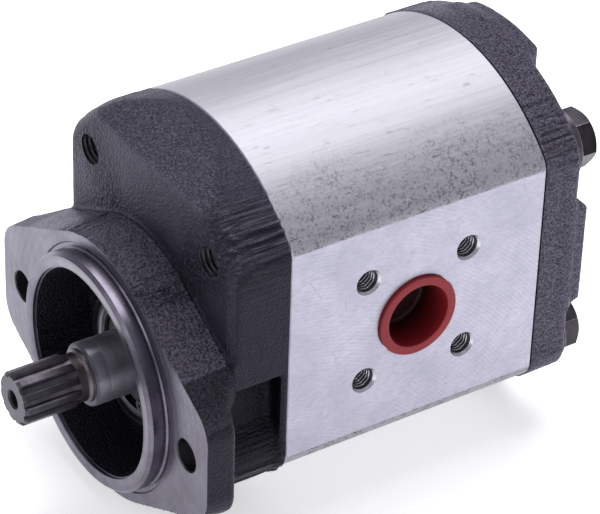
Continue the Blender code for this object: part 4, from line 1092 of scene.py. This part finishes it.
def gear(name, start_deg):
    root = PITCH_RADIUS - 1.25 * GEAR_MODULE
    tip = PITCH_RADIUS + GEAR_MODULE
    base = PITCH_RADIUS * math.cos(math.radians(25.0))
    radii = [root] + [base + (tip - base) * i / 8 for i in range(9)]
    outline = involute_teeth(GEAR_TEETH, PITCH_RADIUS, 25.0, radii, 0.075 * MM, start_deg)
    return prism(name, outline, GEAR_FRONT_Y, GEAR_REAR_Y, "ground")


def spline():
    """Splined length: chamfered all round at its free end, its teeth running out into the neck."""
    front, rear = SHAFT_LOW.y, SPLINE_END_Y
    chamfer = 1.1 * MM
    steps = [SPLINE_ROOT_RADIUS + (SPLINE_TIP_RADIUS - SPLINE_ROOT_RADIUS) * i / 6 for i in range(7)]

    def section(limit):
        return involute_teeth(SPLINE_TEETH, SPLINE_PITCH_RADIUS, 30.0, steps, 0.0, 0.0, limit)

    limits = [SPLINE_TIP_RADIUS - chamfer, SPLINE_TIP_RADIUS - 0.15 * MM, SPLINE_TIP_RADIUS]
    stations = [front, front + chamfer * 0.85, front + chamfer]
    for share in (0.0, 0.4, 0.7, 1.0):
        limits.append(SPLINE_TIP_RADIUS - (SPLINE_TIP_RADIUS - NECK_SHAFT_RADIUS) * share**2)
        stations.append(rear - 1.6 * MM + 1.6 * MM * share)
    teeth = lofted("spline", [section(limit) for limit in limits], stations, "spline")
    add_finishes(teeth, "end")
    for face in teeth.data.polygons:
        if face.center.y < front + 0.01 * MM:
            face.material_index = 1
    return teeth


def drive_shaft():
    """Collar, neck, spline and gear in one piece."""
    inside = (SHAFT_LOW.y + SPLINE_END_Y) / 2
    points = [
        (inside, 0.0), (inside, SPLINE_ROOT_RADIUS - 1 * MM),
        (SPLINE_END_Y - 1.2 * MM, NECK_SHAFT_RADIUS - 0.25 * MM), (SPLINE_END_Y, NECK_SHAFT_RADIUS),
        (COLLAR_Y - 1.5 * MM, NECK_SHAFT_RADIUS, 1.0 * MM),
        (COLLAR_Y - 0.9 * MM, NECK_SHAFT_RADIUS + 0.9 * MM, 0.2 * MM),
        (COLLAR_Y, NECK_SHAFT_RADIUS + 0.95 * MM, 0.1 * MM),
        (COLLAR_Y, SHAFT_RADIUS - 0.6 * MM, 0.1 * MM), (COLLAR_Y + 0.6 * MM, SHAFT_RADIUS, 0.2 * MM),
        (SHAFT_HIGH.y - 0.5 * MM, SHAFT_RADIUS, 0.1 * MM),
        (SHAFT_HIGH.y, SHAFT_RADIUS - 0.5 * MM, 0.1 * MM), (SHAFT_HIGH.y, 0.0),
    ]
    shaft = turned("drive_shaft", rounded_profile(points, 0.2 * MM), "shaft")
    add_finishes(shaft, "neck", "end", "spline")
    fix_normals(shaft)
    for face in shaft.data.polygons:
        if face.center.y < SPLINE_END_Y:
            face.material_index = 3
        elif face.center.y < COLLAR_Y - 0.05 * MM:
            face.material_index = 1
        elif face.center.y < COLLAR_Y + 0.7 * MM:
            face.material_index = 2
    machine(shaft, [spline(), gear("drive_gear", 90.0)], "UNION")
    machine(shaft, [centre_hole_tool()])
    deliver(shaft, "drive_gear_shaft", 25.0, "drive_rotor")


def centre_hole_tool():
    front = SHAFT_LOW.y
    profile = [
        (front - SPARE, 0.0), (front - SPARE, 3.5 * MM), (front, 3.5 * MM),
        (front + 0.7 * MM, 3.0 * MM), (front + 5.0 * MM, 2.4 * MM), (front + 6.5 * MM, 0.0),
    ]
    return turned("centre_hole_tool", profile, "bored", 40)


def idler_shaft():
    edge = 0.5 * MM
    front, rear = IDLER_LOW.y, IDLER_HIGH.y
    profile = [
        (front, 0.0), (front, SHAFT_RADIUS - edge), (front + edge, SHAFT_RADIUS),
        (rear - edge, SHAFT_RADIUS), (rear, SHAFT_RADIUS - edge), (rear, 0.0),
    ]
    shaft = turned("idler_shaft", profile, "shaft")
    machine(shaft, [gear("idler_gear", 270.0 + 180.0 / GEAR_TEETH)], "UNION")
    placed(shaft, (0.0, 0.0, CENTRE_DISTANCE))
    deliver(shaft, "idler_gear_shaft", 25.0, "idler_rotor")


# ---- Small pieces


def tie_bolt(place, x, z):
    """Hexagon-head bolt with a chamfered crown and a washer face, through body and covers."""
    low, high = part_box(f"{place}_tie_bolt")
    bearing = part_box(f"{place}_washer")[1].y + GAP
    height = high.y - bearing
    corner = HEAD_ACROSS_FLATS / math.sqrt(3)
    bolt = prism(f"{place}_hexagon_bolt", circle(corner, 6), 0.35 * MM, height, "bolt")
    crown = [
        (-SPARE, 0.0), (-SPARE, corner + MM), (height - 1.15 * MM, corner + 0.05 * MM),
        (height, HEAD_ACROSS_FLATS / 2 - 0.15 * MM), (height, 0.0),
    ]
    machine(bolt, [turned("crown", crown, "bolt", SMALL_ROUND * 2)], "INTERSECT")
    length = bearing - low.y
    shank = [
        (-length, 0.0), (-length, BOLT_RADIUS - 1.2 * MM),
        (-length + 1.0 * MM, BOLT_RADIUS - 0.15 * MM), (0.0, BOLT_RADIUS - 0.15 * MM),
        (0.0, HEAD_ACROSS_FLATS / 2 - 0.5 * MM), (0.5 * MM, HEAD_ACROSS_FLATS / 2 - 0.5 * MM),
        (height / 2, 0.0),
    ]
    machine(bolt, [turned("shank", shank, "bolt", SMALL_ROUND)], "UNION")
    turn = Matrix.Rotation(-math.radians(BOLT_TURNS_DEG[place]), 4, "Y")
    bolt.data.transform(Matrix.Translation((x, bearing, z)) @ turn)
    add_finishes(bolt, "worn")
    soften(bolt, 0.22 * MM, 2, 28.0, 1)
    deliver(bolt, f"{place}_tie_bolt", 35.0)


def washer(place, x, z):
    low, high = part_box(f"{place}_washer")
    outer = (high.x - low.x) / 2
    loop = [
        (0.0, BOLT_HOLE_RADIUS), (0.0, outer), (high.y - low.y, outer),
        (high.y - low.y, BOLT_HOLE_RADIUS),
    ]
    ring = turned(f"{place}_flat_washer", loop, "washer", 64)
    placed(ring, (x, low.y, z))
    fix_normals(ring)
    add_finishes(ring, "worn")
    soften(ring, 0.25 * MM, 3, 40.0, 1)
    deliver(ring, f"{place}_washer", 35.0)


def port_plug(name, side, towards):
    """Cup-shaped transport plug with a round flange, a draft inside and a moulding mark on its floor."""
    proud = PLUG_HIGH.x - HALF_WIDTH
    depth = HALF_WIDTH - PLUG_LOW.x
    flange = (PLUG_HIGH.z - PLUG_LOW.z) / 2
    seat = GAP - PORT_SPOT_DEPTH
    points = [
        (-depth, 0.0), (-depth, 11.4 * MM, 1.0 * MM), (-depth + 2.0 * MM, 12.9 * MM, 0.8 * MM),
        (seat, 12.95 * MM, 0.05 * MM), (seat, flange, 0.15 * MM), (proud, flange, 0.45 * MM),
        (proud, 11.55 * MM, 0.35 * MM), (-depth + 1.5 * MM, 10.9 * MM, 1.6 * MM),
        (-depth + 1.5 * MM, 2.2 * MM, 0.2 * MM), (-depth + 2.0 * MM, 1.6 * MM, 0.2 * MM),
        (-depth + 2.0 * MM, 0.0),
    ]
    plug = turned(name + "_cap", rounded_profile(points, 0.3 * MM, 5), "plug")
    y = coordinates(plug.data)[:, 1]
    # The depth attribute holds painted shade for the cup's inside.
    set_attribute(plug, "depth", np.clip((proud - 0.6 * MM - y) / (5.0 * MM), 0.0, 1.0))
    placed(plug, (side * HALF_WIDTH, PORT_Y, MID_Z), towards)
    fix_normals(plug)
    deliver(plug, name, 40.0)


def shaft_seal():
    """Rotary lip seal: outer case, curved web and dust lip."""
    front, rear = SEAL_LOW.y, SEAL_HIGH.y
    case = SEAL_HIGH.x
    lip = SHAFT_RADIUS + GAP
    loop = [
        (front, lip + 2.4 * MM), (front, case - 0.6 * MM), (front + 0.6 * MM, case), (rear, case),
        (rear, case - 1.8 * MM), (front + 2.0 * MM, case - 1.8 * MM),
        (front + 1.8 * MM, lip + 3.8 * MM), (rear - 1.8 * MM, lip + 2.2 * MM),
        (rear - 1.4 * MM, lip + 0.6 * MM), (front + 3.6 * MM, lip), (front + 1.6 * MM, lip + 1.0 * MM),
        (front + 0.2 * MM, lip + 0.7 * MM),
    ]
    seal = turned("shaft_lip_seal", loop, "rubber")
    fix_normals(seal)
    soften(seal, 0.2 * MM, 2)
    deliver(seal, "shaft_seal", 40.0)


def snap_ring():
    """Internal snap ring: tapered band, open at the bottom, with a drilled eye at each end."""
    outer = RING_HIGH.x
    inner = outer - 3.0 * MM
    open_deg = 14.0
    back = RING_LOW.y
    front = RING_HIGH.y
    loop = arc((0.0, 0.0), outer, open_deg - 90.0, 270.0 - open_deg, 90)
    loop += arc((0.0, -0.4 * MM), inner + 0.2 * MM, 270.0 - open_deg, open_deg - 90.0, 90)
    ring = prism("snap_ring_band", loop, back, front, "spring")
    eyes, holes = [], []
    for side in (1, -1):
        angle = math.radians(side * 18.0 - 90.0)
        centre = (inner * math.cos(angle), inner * math.sin(angle))
        eye = circle(2.0 * MM, 32, centre)
        eyes.append(prism("eye", eye, back, front, "spring"))
        hole = circle(0.75 * MM, 20, centre)
        holes.append(prism("hole", hole, back - MM, front + MM, "spring"))
    machine(ring, eyes, "UNION")
    machine(ring, holes)
    soften(ring, 0.12 * MM, 2, 50.0)
    deliver(ring, "snap_ring", 35.0)


CARRIED_OVER = {
    "bearing_block": "milled",
    "bush": "bronze",
    "pressure_seal": "rubber",
    "body_seal": "rubber",
    "backup_strip": "polymer",
    "dowel": "ground",
}


def dress_inner_nodes():
    """Nodes that stay as they are get the material of their kind."""
    for name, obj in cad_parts.items():
        for ending, material in CARRIED_OVER.items():
            if name.endswith(ending):
                obj.data.materials.clear()
                obj.data.materials.append(MATERIALS[material])


# ---- Stage, light and camera

CAMERA_PLACE = (0.72909, -0.4146, 0.63015)
CAMERA_AZIMUTH = math.radians(56.04)
CAMERA_ELEVATION = math.radians(34.89)
CAMERA_ROLL = math.radians(1.98)
CAMERA_LENS = 192.38


def camera():
    level = math.cos(CAMERA_ELEVATION)
    ahead = (-math.sin(CAMERA_AZIMUTH) * level, math.cos(CAMERA_AZIMUTH) * level, -math.sin(CAMERA_ELEVATION))
    ahead = Vector(ahead)
    right = Vector((math.cos(CAMERA_AZIMUTH), math.sin(CAMERA_AZIMUTH), 0.0))
    up = right.cross(ahead)
    side = right * math.cos(CAMERA_ROLL) + up * math.sin(CAMERA_ROLL)
    top = up * math.cos(CAMERA_ROLL) - right * math.sin(CAMERA_ROLL)
    data = bpy.data.cameras.new("camera")
    data.sensor_width = 36.0
    data.lens = CAMERA_LENS
    data.clip_start = 0.01
    obj = bpy.data.objects.new("camera", data)
    turn = Matrix((side, top, -ahead)).transposed().to_4x4()
    obj.matrix_world = Matrix.Translation(CAMERA_PLACE) @ turn
    bpy.context.scene.collection.objects.link(obj)
    bpy.context.scene.camera = obj


def floor():
    half = 6.0
    z = CAD_LOW.z - GAP
    corners = [(-half, -half, z), (half, -half, z), (half, half, z), (-half, half, z)]
    obj = new_object("floor", corners, [(0, 1, 2, 3)])
    material = bpy.data.materials.new("floor")
    material.use_nodes = True
    values = {
        "Base Color": (0.95, 0.95, 0.96, 1.0),
        "Roughness": 1.0,
        "Specular IOR Level": 0.0,
        "Emission Color": (1.0, 1.0, 1.0, 1.0),
        "Emission Strength": 0.50,
    }
    for key, value in values.items():
        material.node_tree.nodes["Principled BSDF"].inputs[key].default_value = value
    obj.data.materials.append(material)


def softbox(name, place, target, size, power):
    data = bpy.data.lights.new(name, "AREA")
    data.shape = "RECTANGLE"
    data.size, data.size_y = size
    data.energy = power
    obj = bpy.data.objects.new(name, data)
    aim = (Vector(target) - Vector(place)).to_track_quat("-Z", "Y").to_matrix().to_4x4()
    obj.matrix_world = Matrix.Translation(place) @ aim
    bpy.context.scene.collection.objects.link(obj)


def lights():
    middle = (0.0, PORT_Y, MID_Z)
    softbox("overhead", (-0.30, 0.35, 0.95), middle, (0.9, 0.9), 11.5)
    softbox("right", (1.1, 0.1, 0.55), middle, (0.6, 0.9), 0.95)
    softbox("front", (-0.1, -1.2, 0.6), middle, (0.9, 0.6), 2.4)
    world = bpy.data.worlds.new("studio")
    world.use_nodes = True
    background = world.node_tree.nodes["Background"]
    background.inputs["Color"].default_value = (0.93, 0.92, 1.0, 1.0)
    background.inputs["Strength"].default_value = 0.40
    bpy.context.scene.world = world
    bpy.context.scene.view_settings.view_transform = "Standard"


camera()
floor()
lights()
front_cover()
rear_cover()
pump_body()
drive_shaft()
idler_shaft()
for bolt_place, (bolt_x, bolt_z) in bolt_places().items():
    tie_bolt(bolt_place, bolt_x, bolt_z)
    washer(bolt_place, bolt_x, bolt_z)
port_plug("right_port_plug", 1, "+X")
port_plug("left_port_plug", -1, "-X")
shaft_seal()
snap_ring()
dress_inner_nodes()
